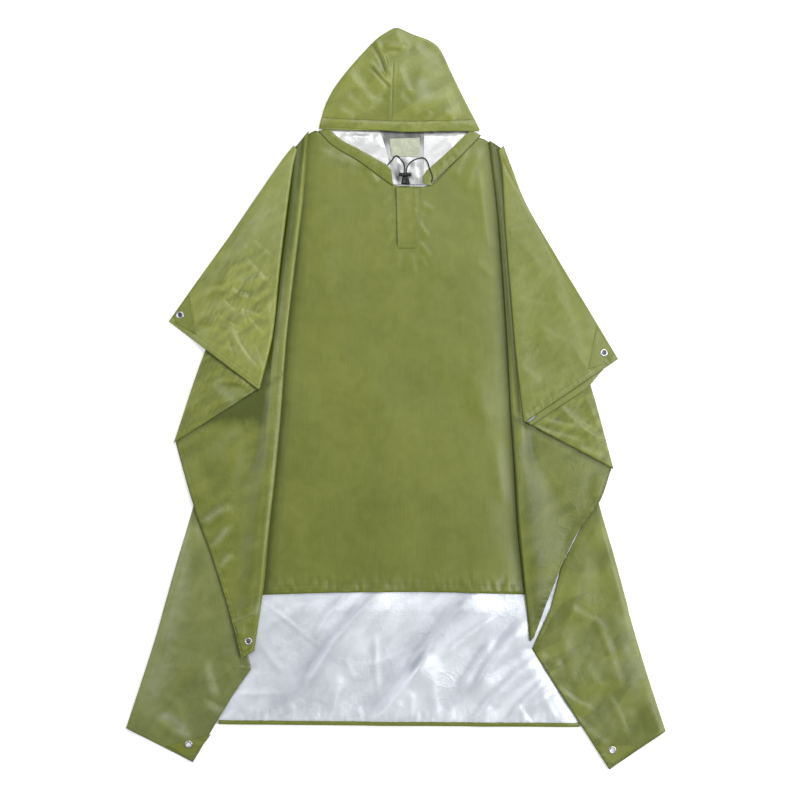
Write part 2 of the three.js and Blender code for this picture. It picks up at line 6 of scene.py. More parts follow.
import bmesh
import bpy
from mathutils import Matrix, Vector, noise
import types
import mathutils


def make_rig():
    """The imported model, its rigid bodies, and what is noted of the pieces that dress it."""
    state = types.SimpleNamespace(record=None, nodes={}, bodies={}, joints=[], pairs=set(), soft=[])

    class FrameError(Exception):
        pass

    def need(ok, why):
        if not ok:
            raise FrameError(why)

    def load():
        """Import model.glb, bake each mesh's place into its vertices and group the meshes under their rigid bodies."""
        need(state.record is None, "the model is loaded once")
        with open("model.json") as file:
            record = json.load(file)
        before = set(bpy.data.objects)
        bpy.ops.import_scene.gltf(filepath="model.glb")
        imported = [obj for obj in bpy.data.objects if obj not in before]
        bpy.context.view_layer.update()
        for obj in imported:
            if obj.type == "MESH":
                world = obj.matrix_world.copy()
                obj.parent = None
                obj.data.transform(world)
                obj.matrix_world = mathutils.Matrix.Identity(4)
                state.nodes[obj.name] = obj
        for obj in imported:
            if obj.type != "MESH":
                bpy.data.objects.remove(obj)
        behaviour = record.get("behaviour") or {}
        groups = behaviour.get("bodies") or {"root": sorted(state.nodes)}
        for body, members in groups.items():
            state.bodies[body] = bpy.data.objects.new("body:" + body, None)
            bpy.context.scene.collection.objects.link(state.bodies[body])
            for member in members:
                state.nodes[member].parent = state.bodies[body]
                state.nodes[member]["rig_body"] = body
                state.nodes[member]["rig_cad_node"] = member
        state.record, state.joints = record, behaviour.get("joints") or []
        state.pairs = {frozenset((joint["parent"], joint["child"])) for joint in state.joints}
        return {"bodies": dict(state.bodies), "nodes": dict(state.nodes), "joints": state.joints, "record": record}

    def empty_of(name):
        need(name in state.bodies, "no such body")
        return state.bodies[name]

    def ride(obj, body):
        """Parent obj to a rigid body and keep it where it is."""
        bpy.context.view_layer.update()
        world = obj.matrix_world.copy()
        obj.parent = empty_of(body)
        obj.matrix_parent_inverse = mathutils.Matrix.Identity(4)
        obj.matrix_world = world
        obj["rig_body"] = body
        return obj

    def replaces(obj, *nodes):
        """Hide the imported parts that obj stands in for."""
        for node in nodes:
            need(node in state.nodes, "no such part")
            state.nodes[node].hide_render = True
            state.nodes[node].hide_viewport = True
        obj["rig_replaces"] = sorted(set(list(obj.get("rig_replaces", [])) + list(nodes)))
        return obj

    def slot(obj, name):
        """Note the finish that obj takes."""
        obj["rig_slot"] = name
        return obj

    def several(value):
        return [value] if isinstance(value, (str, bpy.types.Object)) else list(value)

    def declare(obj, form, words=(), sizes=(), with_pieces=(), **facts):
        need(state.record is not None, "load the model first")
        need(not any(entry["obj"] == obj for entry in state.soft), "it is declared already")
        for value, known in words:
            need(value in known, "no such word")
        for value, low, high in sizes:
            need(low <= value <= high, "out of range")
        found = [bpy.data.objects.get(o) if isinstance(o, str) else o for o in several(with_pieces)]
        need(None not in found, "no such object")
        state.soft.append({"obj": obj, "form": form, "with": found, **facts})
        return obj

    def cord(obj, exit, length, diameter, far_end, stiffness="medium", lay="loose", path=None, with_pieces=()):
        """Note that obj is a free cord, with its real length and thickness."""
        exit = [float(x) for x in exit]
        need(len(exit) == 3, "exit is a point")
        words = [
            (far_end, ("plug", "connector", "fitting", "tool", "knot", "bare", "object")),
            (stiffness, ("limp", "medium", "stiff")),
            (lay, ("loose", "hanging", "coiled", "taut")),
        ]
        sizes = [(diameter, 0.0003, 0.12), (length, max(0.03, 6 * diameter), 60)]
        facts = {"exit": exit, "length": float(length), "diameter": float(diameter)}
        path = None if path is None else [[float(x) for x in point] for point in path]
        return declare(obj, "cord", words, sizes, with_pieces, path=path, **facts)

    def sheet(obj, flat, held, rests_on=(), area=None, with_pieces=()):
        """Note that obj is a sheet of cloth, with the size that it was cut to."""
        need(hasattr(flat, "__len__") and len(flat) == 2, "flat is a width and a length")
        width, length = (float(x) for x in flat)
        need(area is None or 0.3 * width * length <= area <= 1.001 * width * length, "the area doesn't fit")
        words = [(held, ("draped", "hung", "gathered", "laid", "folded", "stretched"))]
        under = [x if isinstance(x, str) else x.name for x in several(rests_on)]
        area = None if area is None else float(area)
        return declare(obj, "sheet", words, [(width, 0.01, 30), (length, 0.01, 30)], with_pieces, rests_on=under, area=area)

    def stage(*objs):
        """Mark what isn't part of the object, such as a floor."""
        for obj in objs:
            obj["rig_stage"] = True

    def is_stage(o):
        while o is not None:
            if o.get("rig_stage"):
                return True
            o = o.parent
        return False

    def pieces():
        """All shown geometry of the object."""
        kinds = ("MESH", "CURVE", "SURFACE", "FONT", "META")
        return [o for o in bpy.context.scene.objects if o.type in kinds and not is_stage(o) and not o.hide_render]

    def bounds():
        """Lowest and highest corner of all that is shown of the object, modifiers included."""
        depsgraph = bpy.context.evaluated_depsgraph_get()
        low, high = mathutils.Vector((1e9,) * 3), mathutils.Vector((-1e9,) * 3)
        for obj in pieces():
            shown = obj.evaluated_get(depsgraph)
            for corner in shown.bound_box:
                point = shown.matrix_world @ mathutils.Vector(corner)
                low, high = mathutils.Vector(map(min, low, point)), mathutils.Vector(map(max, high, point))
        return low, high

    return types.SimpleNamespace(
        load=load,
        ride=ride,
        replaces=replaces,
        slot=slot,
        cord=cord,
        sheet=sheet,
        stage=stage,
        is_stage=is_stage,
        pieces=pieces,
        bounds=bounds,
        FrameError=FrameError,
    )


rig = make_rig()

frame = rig.load()
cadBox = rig.bounds()

mm = 0.001  # sizes below are in millimetres
sides = ("left", "right")
otherSide = {"left": "right", "right": "left"}


def clamp(value, low=0.0, high=1.0):
    return max(low, min(high, value))


def ramp(value, none, full):  # 0 at one value and 1 at the other, with soft ends
    t = clamp((value - none) / (full - none))
    return t * t * (3 - 2 * t)


def mix(a, b, t):
    return a + (b - a) * t


def mixPoint(a, b, t):
    return tuple(mix(p, q, t) for p, q in zip(a, b))


def unit(a, b):
    length = math.dist(a, b)
    return ((b[0] - a[0]) / length, (b[1] - a[1]) / length)


def shifted(point, direction, distance):
    return (point[0] + direction[0] * distance, point[1] + direction[1] * distance)


def curve(points, i, f, corners=()):  # a smooth curve through points: the place a share f on from point i
    a, b = points[i], points[i + 1]
    before = points[i - 1] if i > 0 and i not in corners else mixPoint(b, a, 2)
    after = points[i + 2] if i + 2 < len(points) and i + 1 not in corners else mixPoint(a, b, 2)
    return tuple(q + f / 2 * (r - p + f * (2 * p - 5 * q + 4 * r - s + f * (3 * (q - r) + s - p)))
                 for p, q, r, s in zip(before, a, b, after))


class Line:  # a fold or an edge, as a smooth line through points, with sharp corners where asked

    def __init__(self, points, corners=()):
        self.points = list(points)
        self.corners = corners

    def at(self, t):
        place = clamp(t) * (len(self.points) - 1)
        i = min(int(place), len(self.points) - 2)
        return curve(self.points, i, place - i, self.corners)

    def acrossAt(self, y):  # the line's x at a height y, for lines that run down the garment
        points = self.points
        i = 0
        while i < len(points) - 2 and points[i + 1][1] > y:
            i += 1
        a, b = points[i], points[i + 1]
        return mix(a[0], b[0], clamp((a[1] - y) / (a[1] - b[1])))


# Crests are sharp and feet are soft; a crease runs on a little past its ends
crease = {"reach": 2.5, "round": 0.14, "height": 1.6, "width": 1.3, "past": 0.15, "soft": 0.35}


# Creases are soft ridges, or troughs where the height is less than 0:
# x and y of each end, half width, height, bend to the side, and how far the crest leans
def creaseHeight(creases, x, y):
    past, soft, reach = crease["past"], crease["soft"], crease["reach"]
    total = 0.0
    for x0, y0, x1, y1, width, height, bend, lean in creases:
        dx, dy = x1 - x0, y1 - y0
        length = math.hypot(dx, dy)
        s = ((x - x0) * dx + (y - y0) * dy) / (length * length)
        if s < -past or s > 1 + past:
            continue
        d = ((x - x0) * dy - (y - y0) * dx) / length - bend * 4 * s * (1 - s)
        w = crease["width"] * width * (1 + 1.8 * lean if d > 0 else 1 - 1.8 * lean)
        far = math.sqrt((d / w) ** 2 + crease["round"])
        if far < reach:
            ends = ramp(s, -past, soft - past) * ramp(s, 1 + past, 1 + past - soft)
            total += crease["height"] * height * ends * (1 - far / reach) ** 2
    return total


def wave(x, y, size, seed):  # soft unevenness, from -1 to 1
    return noise.noise(Vector((x / size, y / size, seed)))


def facets(x, y, size, seed):  # flat faces with sharp lines between them, from -1 to 1
    x += 0.35 * size * wave(x, y, size * 2, seed + 7)
    y += 0.35 * size * wave(x, y, size * 2, seed + 13)
    u, v = (x - y / math.sqrt(3)) / size, y * 2 / math.sqrt(3) / size
    i, j = math.floor(u), math.floor(v)
    f, g = u - i, v - j
    a, d = noise.cell(Vector((i, j, seed))), noise.cell(Vector((i + 1, j + 1, seed)))
    if f > g:
        b = noise.cell(Vector((i + 1, j, seed)))
        return a + (b - a) * f + (d - b) * g
    c = noise.cell(Vector((i, j + 1, seed)))
    return a + (d - c) * f + (c - a) * g


def crumple(x, y, size, seed):  # crushed cloth at two scales, from about 0 to 1
    broad = facets(x, y, size * 0.8, seed)
    fine = facets(y, x, size * 0.36, seed + 3)
    return 0.5 + 0.36 * broad + 0.14 * fine


def flats(x, y, size, seed):  # light on the flat faces of crushed cloth, from about -0.5 to 0.5
    step = 0.05 * size
    rise = facets(x - step, y + step, 0.8 * size, seed) - facets(x, y, 0.8 * size, seed)
    return clamp(0.24 * rise * size / step, -0.5, 0.5)


def blob(x, y, centre, radius):
    return ramp(math.dist((x, y), centre), radius, 0)


# The cloth
cloth = {
    "thickness": 0.5,
    "lowest": 0.6,      # middle of the lowest layer
    "pitch": 1.6,       # height from one layer of cloth to the next
    "sideDrop": 120,    # the pleats come down over this width past the back panel
    "cuffDrop": 45,     # and the sleeves over this width past the pleats
    "cuffStart": 4,
}
layers = {
    "back": 0, "foldOver": 1, "front": 1, "pleatReturn": 2, "wingUnder": 2, "strip": 3,
    "midFront": 4, "midBack": 5, "sleeveBack": 6, "sleeveFront": 7,
    "hoodBack": 0, "hoodNeck": 1, "hoodInner": 2, "hoodTop": 3,
}


def linesOf(rows, names, corners=()):  # the lines of each side, from rows with the left side's points first
    columns = iter(zip(*rows))
    corners = dict(corners)
    return {side: {name: Line(next(columns), corners.get((side, name), ())) for name in names}
            for side in sides}


# Back panel: outer fold and folded-over edge on each side, a row for each section down the back
backRows = [  # left fold, left edge, right fold, right edge
    ((-211, 531), (-202, 531), (223, 523), (214, 523)),
    ((-269, 418), (-244, 418), (262, 418), (250, 418)),
    ((-311, 292), (-281, 292), (292, 292), (260, 292)),
    ((-344, 166), (-313, 166), (330, 166), (296, 166)),
    ((-372, 40), (-340, 40), (365, 40), (334, 40)),
    ((-397, -86), (-365, -86), (399, -86), (372, -86)),
    ((-424, -218), (-412, -233), (426, -218), (408, -231)),
    ((-462, -349), (-338, -412), (456, -323), (346, -354)),
    ((-484, -427), (-321, -489), (484, -426), (324, -440)),
    ((-504, -498), (-304, -566), (491, -456), (285, -524)),
    ((-536, -598), (-349, -632), (523, -565), (351, -627)),
    ((-567, -691), (-426, -762), (566, -697), (447, -777)),
]
backHemEnds = ((-372, -681), (386, -687))
backLines = linesOf(backRows, ("fold", "edge"), {("left", "edge"): (9,), ("right", "edge"): (6, 7, 8, 9)})
for side, share, end in zip(sides, (0.17, 0.84), backHemEnds):
    backLines[side]["hem"] = Line([*(mixPoint(r[0], r[2], share) for r in backRows[:-1]), end])

# Front panel: outer edge, fold over the centre and hidden turn on each side
frontRows = [  # left edge, left fold, left turn, right edge, right fold, right turn
    ((-213, 524), (-183, 562), (-191, 552), (218, 527), (195, 542), (206, 531)),
    ((-290, 363), (-195, 418), (-227, 418), (294, 342), (212, 407), (244, 407)),
    ((-351, 214), (-213, 271), (-247, 271), (355, 183), (223, 271), (256, 271)),
    ((-407, 69), (-230, 124), (-265, 124), (407, 15), (232, 134), (267, 134)),
    ((-462, -92), (-242, -40), (-276, -23), (452, -145), (240, -13), (275, -13)),
    ((-426, -218), (-256, -183), (-287, -139), (426, -216), (249, -149), (284, -128)),
    ((-384, -334), (-267, -284), (-295, -233), (376, -288), (256, -269), (290, -223)),
    ((-349, -447), (-277, -391), (-303, -328), (326, -401), (269, -397), (296, -317)),
    ((-323, -544), (-297, -527), (-313, -411), (289, -498), (281, -508), (300, -410)),
]
frontLines = linesOf(frontRows, ("edge", "fold", "turn"), {(side, "edge"): (4,) for side in sides})
neckline = [
    (-170, 563), (-155, 557), (-105, 522), (-53, 484), (0, 446), (59, 445),
    (78, 450), (111, 484), (143, 518), (172, 548), (185, 545),
]
frontHem = {"ends": [frontLines[side]["turn"].points[-1] for side in sides], "rise": 7}

# Sleeves: shoulder fold, inner fold and outer fold, a row for each ray from the shoulder
wingRows = [  # left edge, left fold, left tuck, right edge, right fold, right tuck
    ((-214, 531), (-207, 523), (-212, 524), (225, 530), (214, 520), (222, 524)),
    ((-238, 501), (-216, 484), (-238, 484), (240, 490), (222, 476), (246, 468)),
    ((-286, 433), (-229, 391), (-294, 363), (273, 407), (228, 365), (298, 342)),
    ((-349, 342), (-244, 267), (-355, 214), (340, 292), (239, 227), (359, 183)),
    ((-414, 252), (-258, 134), (-412, 69), (403, 189), (251, 90), (412, 15)),
    ((-477, 163), (-285, 21), (-466, -92), (466, 84), (267, -48), (456, -147)),
]
wingLines = linesOf(wingRows, ("edge", "fold", "tuck"))


def sideOf(x):
    return "left" if x < 0 else "right"


def inside(lines, name, x, y):  # how far a place is inside a fold or an edge, towards the middle
    return abs(lines[sideOf(x)][name].acrossAt(y)) - abs(x)


def layerHeight(name, x, y):
    number, pitch = layers[name], cloth["pitch"]
    z = pitch * number + cloth["lowest"]
    if number >= layers["wingUnder"]:
        z -= layers["pleatReturn"] * pitch * ramp(inside(backLines, "fold", x, y), 0, -cloth["sideDrop"])
    if number >= layers["sleeveBack"]:
        past = -inside(wingLines, "tuck", x, y) - cloth["cuffStart"]
        z -= layers["midFront"] * pitch * ramp(past, 0, cloth["cuffDrop"])
    return z


def plainLayer(name):  # a layer with no creases, as a function of the place
    return lambda x, y: layerHeight(name, x, y)


# Folds that run under the front hem, so that every layer above rises with them
groundFolds = [
    (-84, -386, -166, -500, 11, 4.0, 5, -0.3),
    (-8, -386, -180, -594, 18, 6.0, 14, -0.3),
    (188, -392, 40, -580, 19, 6.0, 13, -0.3),
    (60, -544, -50, -682, 18, 5.6, -7, -0.3),
    (270, -470, 168, -612, 13, 5.2, 6, -0.3),
    (200, -512, 136, -606, 10, 3.4, 2, -0.3),
    (300, -546, 166, -680, 13, 5.2, 11, -0.3),
    (322, -582, 234, -676, 6, 2.8, 3, -0.2),
    (340, -606, 280, -650, 6, 2.4, 2, -0.2),
    (206, -456, 104, -536, 7, 2.2, 3, -0.2),
]


def ground(x, y):
    return ramp(y, -320, -410) * creaseHeight(groundFolds, x, y) if y < -320 else 0.0


def groundUnder(x, y):  # the same folds, dying away under the folded-over sides
    return ground(x, y) * ramp(inside(backLines, "edge", x, y), -48, 12)


def gathered(along, distance, reach, height, seed):  # small puckers that run in from a sewn hem
    if not -3 <= distance <= reach:
        return 0.0
    return height * ramp(distance, reach, 0) * (0.5 + 0.9 * wave(along, distance * 0.3, 8, seed))


silverCreases = [
    (-62, -416, -208, -592, 16, -1.9, -5, 0.2),   # broad troughs
    (-110, -532, -268, -670, 22, -1.9, 8, 0.2),
    (56, -518, -82, -660, 17, -1.9, 4, 0.2),
    (160, -442, 4, -580, 19, -1.9, 7, 0.2),
    (256, -456, 152, -590, 12, -1.6, 3, 0.2),
    (268, -530, 96, -664, 12, -1.6, 6, 0.2),
    (302, -564, 186, -672, 11, -1.5, 3, 0.2),
    (-150, -420, -235, -520, 22, -1.0, 6, 0),
    (-281, -422, -160, -519, 3.4, 0.7, 0, 0),     # fine lines and puckers
    (-279, -517, -242, -569, 5, 1.1, 1, 0),
    (-330, -617, -233, -615, 4, 0.7, 2, 0),
    (-116, -586, -132, -650, 6, 1.3, 2, 0.2),
    (-162, -640, -169, -680, 5, 1.2, 0, 0.2),
    (-43, -496, -38, -610, 4, 1.0, 1, 0),
    (78, -578, 88, -670, 8, 1.3, 2, 0.2),
    (34, -616, 31, -672, 6, 1.3, 0, 0.2),
    (10, -636, -8, -678, 5, 1.1, 0, 0),
    (-105, -545, -86, -590, 5, 0.8, 1, 0),
    (255, -640, 284, -682, 5, 1.0, 1, 0.2),
    (310, -620, 340, -672, 5, 1.0, 2, 0.2),
    (-300, -646, -334, -678, 5, 0.8, 0, 0),
    (-215, -640, -222, -680, 5, 1.0, 0, 0.2),
    (120, -646, 112, -682, 5, 1.0, 0, 0.2),
    (200, -646, 188, -684, 5, 0.8, 0, 0.2),
    (-80, -648, -70, -682, 5, 0.8, 0, 0.2),
    (-60, -556, 26, -522, 5, 0.7, 4, 0.2),
    (-260, -470, -225, -440, 6, 0.7, 2, 0),
    (20, -430, 70, -412, 6, 0.7, 2, 0),
]


def hemRise(across):
    return frontHem["rise"] * math.sin(math.pi * across)


def frontHemAt(x):
    (left, low), (right, _) = frontHem["ends"]
    return low + hemRise(clamp((x - left) / (right - left)))


def backHeight(x, y):
    z = layerHeight("back", x, y)
    if y > -330:
        return z
    shown = ramp(frontHemAt(x) - y, 1, 43) * ramp(inside(backLines, "edge", x, y), -10, 36)
    (left, leftHem), (right, rightHem) = backHemEnds
    hem = y - mix(leftHem, rightHem, (x - left) / (right - left))
    detail = 3.6 + 1.3 * wave(x, y, 66, 3) + 0.7 * crumple(x, y, 44, 5)
    detail += creaseHeight(silverCreases, x, y) + gathered(x, hem - 9, 34, 1.4, 11)
    return z + groundUnder(x, y) + shown * max(0.0, detail)


foldOverCreases = [
    # left
    (-442, -330, -552, -668, 15, 3.4, -3, 0.3),
    (-405, -400, -500, -670, 12, -1.4, 0, 0),
    (-395, -550, -372, -630, 9, 3.0, 3, 0.3),
    (-402, -632, -358, -660, 8, 3.2, 0, 0.3),
    (-500, -672, -434, -700, 10, 3.4, 5, 0.3),
    (-455, -636, -436, -704, 9, 2.4, 2, 0),
    (-352, -556, -330, -614, 7, 2.0, 2, 0),
    (-420, -446, -385, -526, 16, 2.0, 4, 0),
    (-474, -698, -400, -730, 5, 1.8, 2, 0),
    (-440, -560, -470, -640, 14, 1.8, 3, 0.2),
    # right
    (412, -466, 448, -544, 5, -2.2, 0, 0.3),
    (421, -464, 458, -540, 8, 2.6, 0, 0.2),
    (352, -496, 400, -638, 13, 3.8, 9, -0.35),
    (336, -602, 414, -650, 9, 4.0, 4, 0.4),
    (428, -500, 474, -616, 15, 3.8, -5, 0.35),
    (382, -392, 368, -456, 9, 3.2, 0, 0.2),
    (402, -326, 392, -424, 12, 2.6, 4, 0.2),
    (476, -470, 524, -650, 11, 2.8, 4, 0.3),
    (500, -550, 542, -674, 8, 2.2, 2, 0.2),
    (374, -666, 444, -726, 9, 3.4, 4, 0.2),
    (448, -624, 486, -712, 10, 3.6, -4, 0.35),
    (398, -554, 434, -606, 11, 3.2, 5, 0.2),
    (497, -656, 468, -724, 8, 2.8, 2, 0.2),
    (410, -636, 442, -694, 7, -2.0, 3, 0),
    (330, -536, 374, -594, 9, 2.6, 3, 0.2),
    (360, -430, 430, -470, 10, 2.2, 5, 0.3),
    (300, -530, 345, -560, 7, 2.0, 2, 0.3),
]


def foldOverHeight(x, y):
    z = layerHeight("foldOver", x, y) + groundUnder(x, y)
    if y > -200:
        return z
    clear = ramp(inside(frontLines, "edge", x, y), 2, -20) if y > -560 else 1.0
    fold, edge = inside(backLines, "fold", x, y), inside(backLines, "edge", x, y)
    rough, sharp = (4.2, 0.4) if x > 0 else (1.6, 0.8)
    detail = 0.8 + 1.4 * wave(x, y, 85, 21) + rough * crumple(x, y, 66, 23)
    detail += sharp * creaseHeight(foldOverCreases, x, y)
    detail += 3.0 * ramp(fold, 0, 10) * ramp(fold, 50, 10) + gathered(y, abs(edge) - 2, 20, 1.3, 27)
    return z + ramp(y, -225, -285) * clear * max(0.0, detail)


stripCreases = [
    # left
    (-403, -260, -353, -222, 6, 3.0, 0, 0.3),
    (-386, -313, -347, -266, 6, 2.8, 0, 0.3),
    (-370, -353, -342, -324, 5, 2.4, 0, 0.3),
    (-330, -100, -360, -256, 20, 2.6, 5, 0.2),
    (-420, -120, -395, -215, 12, 2.0, 3, 0.2),
    (-309, -470, -279, -420, 6, 2.8, 1, 0.3),
    (-318, -455, -322, -500, 5, 1.8, 1, 0.2),
    (-300, -300, -312, -400, 14, 1.4, 2, 0),
    # right
    (306, -105, 316, -340, 24, 1.2, 5, 0.2),
    (352, -150, 326, -345, 20, 1.3, -5, 0.2),
    (398, -145, 372, -240, 18, 1.4, 4, 0.2),
    (430, -160, 418, -210, 7, 1.6, 0, 0),
    (300, -320, 296, -430, 12, 0.8, 2, 0),
]


def hemPlace(name, x, y):  # along and below the hem that runs from the inner fold to another line's end
    lines = wingLines[sideOf(x)]
    inner = lines["fold"].points[-1]
    way = unit(inner, lines[name].points[-1])
    dx, dy = x - inner[0], y - inner[1]
    drop = dx * way[1] - dy * way[0]
    return dx * way[0] + dy * way[1], drop if x > 0 else -drop


def stripHeight(x, y):
    past = -inside(frontLines, "fold", x, y)
    lower = ramp(y, -10, -150)
    flat = mix(22, 10, lower)
    width = mix(12, 34, lower) + 56 * ramp(y, -110, -230)
    dent = 1.0 if x < 0 else 1 - 0.7 * lower
    z = layerHeight("strip", x, y) + ground(x, y)
    z += mix(6.6, 7.2, lower) * ramp(past, -3, 5) * ramp(past, flat + width, flat)
    z -= 1.4 * dent * ramp(past, 5, 13) * ramp(past, 26, 12)
    z -= 1.2 * dent * lower * ramp(past, 30, 50) * ramp(past, 90, 60)
    drop = hemPlace("tuck", x, y)[1]
    if drop > -12:
        detail = 1.4 + 1.7 * wave(x, y, 90, 31) + 1.0 * crumple(x, y, 46, 33)
        detail += creaseHeight(stripCreases, x, y)
        detail += gathered(y, inside(frontLines, "edge", x, y), 22, 1.4, 37)
        z += ramp(drop, -12, 18) * ramp(past, -2, 10) * max(0.0, detail)
    return z


frontCreases = [
    (-166, 524, -48, 488, 4, 1.4, 3, 0),
    (-150, 545, -90, 505, 5, 1.0, 2, 0),
    (-55, 486, -40, 455, 4, 1.8, 0, 0.2),
    (-47, 488, -30, 462, 3, -1.2, 0, 0),
    (-150, 300, -120, 180, 26, 1.6, 6, 0),
    (60, 330, 120, 250, 22, 1.4, 5, 0),
    (48, 372, 70, 340, 4, 0.9, 1, 0.2),
    (50, 330, 74, 300, 4, 1.0, 1, 0.2),
    (56, 410, 80, 398, 4, 0.8, 1, 0.2),
    (54, 300, 66, 276, 4, 0.7, 0, 0.2),
    (-8, 420, -28, 408, 4, 0.7, 1, 0.2),
    (-6, 385, -24, 366, 4, 0.8, 1, 0.2),
    (-4, 345, -22, 322, 4, 0.8, 0, 0.2),
    (10, 306, 4, 276, 5, 0.7, 1, 0.2),
    (34, 306, 40, 266, 5, 0.8, 1, 0.2),
    (150, 520, 126, 466, 5, 1.6, 1, 0.2),
    (182, 520, 150, 440, 8, 1.8, 3, 0.2),
    (176, 470, 196, 330, 8, 1.8, 2, 0.2),
    (170, 290, 204, 262, 6, 0.8, 2, 0),
    (160, 60, 190, -40, 14, 1.4, 4, 0),
    (-170, 60, -190, -60, 14, 1.4, 4, 0),
    (-60, 40, 20, -80, 30, 1.4, 8, 0),
    (210, -90, 224, -210, 10, 1.4, 2, 0),
    (-196, 360, -205, 250, 7, 1.4, 2, 0.2),
]


def frontBed(x, y):
    return layerHeight("front", x, y) + ground(x, y)


def frontHeight(x, y):
    fold = inside(frontLines, "fold", x, y)
    low = ramp(fold, 4, 64) * ramp(y, 460, 340)
    detail = 0.9 + 2.4 * low + wave(x, y, 150, 41) + 0.6 * wave(x, y * 0.5, 42, 43)
    detail += 0.35 * crumple(x, y, 75, 45) + creaseHeight(frontCreases, x, y)
    detail += gathered(x, y - frontHemAt(x) - 6, 46, mix(1.6, 3.2, ramp(abs(x), 110, 200)), 47)
    if 310 <= y <= 450:  # puckers beside the seams of the lap
        seam = min(abs(x - 0.5), abs(x - 41))
        detail += 0.45 * ramp(seam, 9, 0) * (1 + wave(x, y, 7, 49))
    return frontBed(x, y) + ramp(fold, -1, 29) * max(0.0, detail)


sleeveCreases = [
    # left
    (-281, 407, -401, 235, 6, 1.8, 2, 0.3),
    (-270, 396, -302, 340, 7, 1.8, 3, 0.3),
    (-313, 321, -346, 286, 6, 2.4, 2, 0.3),
    (-330, 246, -267, 254, 5, 2.4, 3, 0.3),
    (-309, 298, -264, 250, 3.5, -1.8, 0, 0),
    (-346, 230, -279, 206, 6, 2.6, 4, 0.4),
    (-367, 208, -305, 169, 6, 2.4, 3, 0.4),
    (-330, 190, -267, 170, 5, 2.4, 3, 0.3),
    (-382, 183, -326, 147, 5, 2.4, 3, 0.3),
    (-345, 152, -288, 64, 11, 3.6, 7, 0.45),
    (-353, 143, -334, 84, 4, -2.6, 0, 0),
    (-309, 168, -279, 137, 4.5, 2.4, 1, 0.3),
    (-324, 187, -314, 153, 4, 2.0, 0, 0.3),
    (-418, 156, -336, 138, 6, 2.2, 3, 0.3),
    (-399, 124, -326, 98, 7, 2.2, 3, 0.3),
    (-298, 113, -268, 48, 7, 2.8, 3, 0.3),
    (-300, 330, -262, 300, 5, 1.8, 2, 0.2),
    (-270, 230, -262, 150, 6, 1.8, 2, 0.2),
    (-400, 200, -352, 240, 6, 1.4, 2, 0.2),
    # right
    (220, 504, 257, 436, 2.6, -2.6, 1, 0),
    (227, 516, 262, 440, 5, 2.2, 2, 0.2),
    (235, 351, 281, 362, 5, 1.6, 2, 0.2),
    (244, 271, 304, 290, 6, 2.0, 3, 0.2),
    (252, 210, 320, 196, 7, 1.6, 4, 0.2),
    (256, 113, 321, 136, 6, 2.2, 3, 0.3),
    (300, 150, 380, 112, 7, 1.6, 3, 0.2),
    (271, 6, 346, 31, 6, 2.4, 3, 0.3),
    (262, 70, 300, 40, 6, 2.0, 2, 0.2),
    (376, 103, 407, 57, 5, 2.0, 0, 0.2),
    (330, 230, 372, 168, 9, 1.6, 3, 0.2),
    (262, 330, 318, 262, 12, 1.8, 4, 0.2),
    (283, 380, 350, 262, 6, 1.4, 2, 0.3),
]


def sleeveLoft(x, y):  # the sleeve stands a little off the pleats, most at its inner fold
    fold, tuck = inside(wingLines, "fold", x, y), inside(wingLines, "tuck", x, y)
    return (1.6 + 1.8 * ramp(fold, -50, 0)) * ramp(tuck, -40, 10)


def sleeveFrontHeight(x, y):
    rough, sharp = (1.8 + 3.8 * blob(x, y, (-325, 195), 150), 0.65) if x < 0 else (0.9, 0.45)
    along, drop = hemPlace("edge", x, y)
    detail = 0.6 + 1.2 * wave(x, y, 70, 51) + rough * crumple(x, y, 30, 53)
    detail += sharp * creaseHeight(sleeveCreases, x, y) + gathered(along, abs(drop) - 7, 20, 1.2, 57)
    z = layerHeight("sleeveFront", x, y) + sleeveLoft(x, y)
    return z + clamp(detail, 0, 7) * ramp(inside(wingLines, "edge", x, y), -1, 8)


def sleeveBackHeight(x, y):
    return layerHeight("sleeveBack", x, y) + 0.8 * sleeveLoft(x, y)


midCreases = [
    (-288, 14, -360, -8, 4.5, 2.4, 2, 0.3),
    (-294, 8, -354, -36, 3.6, 2.0, 2, 0.2),
    (-300, 2, -340, -52, 3.6, 1.8, 1, 0.2),
    (-309, 27, -370, 36, 7, 2.6, 3, 0.4),
    (-391, 71, -424, -24, 10, 2.0, 3, 0.2),
    (-350, 20, -400, -40, 7, 1.4, 3, 0.2),
    (282, -56, 378, -84, 4.5, 1.8, 3, 0.2),
    (300, -42, 402, -62, 5, 1.8, 3, 0.2),
    (340, -12, 430, -84, 7, 2.2, 4, 0.2),
    (300, -62, 360, -100, 4, 1.6, 2, 0.2),
    (400, 0, 436, -70, 7, 1.6, 2, 0.2),
    (380, -100, 436, -120, 5, 1.8, 2, 0.2),
]


def midBackHeight(x, y):
    z = layerHeight("midBack", x, y)
    drop = hemPlace("edge", x, y)[1]
    start = -12 if x < 0 else 6
    if drop > start:
        detail = 0.5 + 0.9 * wave(x, y, 50, 61) + 1.8 * crumple(x, y, 24, 63)
        z += ramp(drop, start, start + 26) * max(0.0, detail + creaseHeight(midCreases, x, y))
    return z


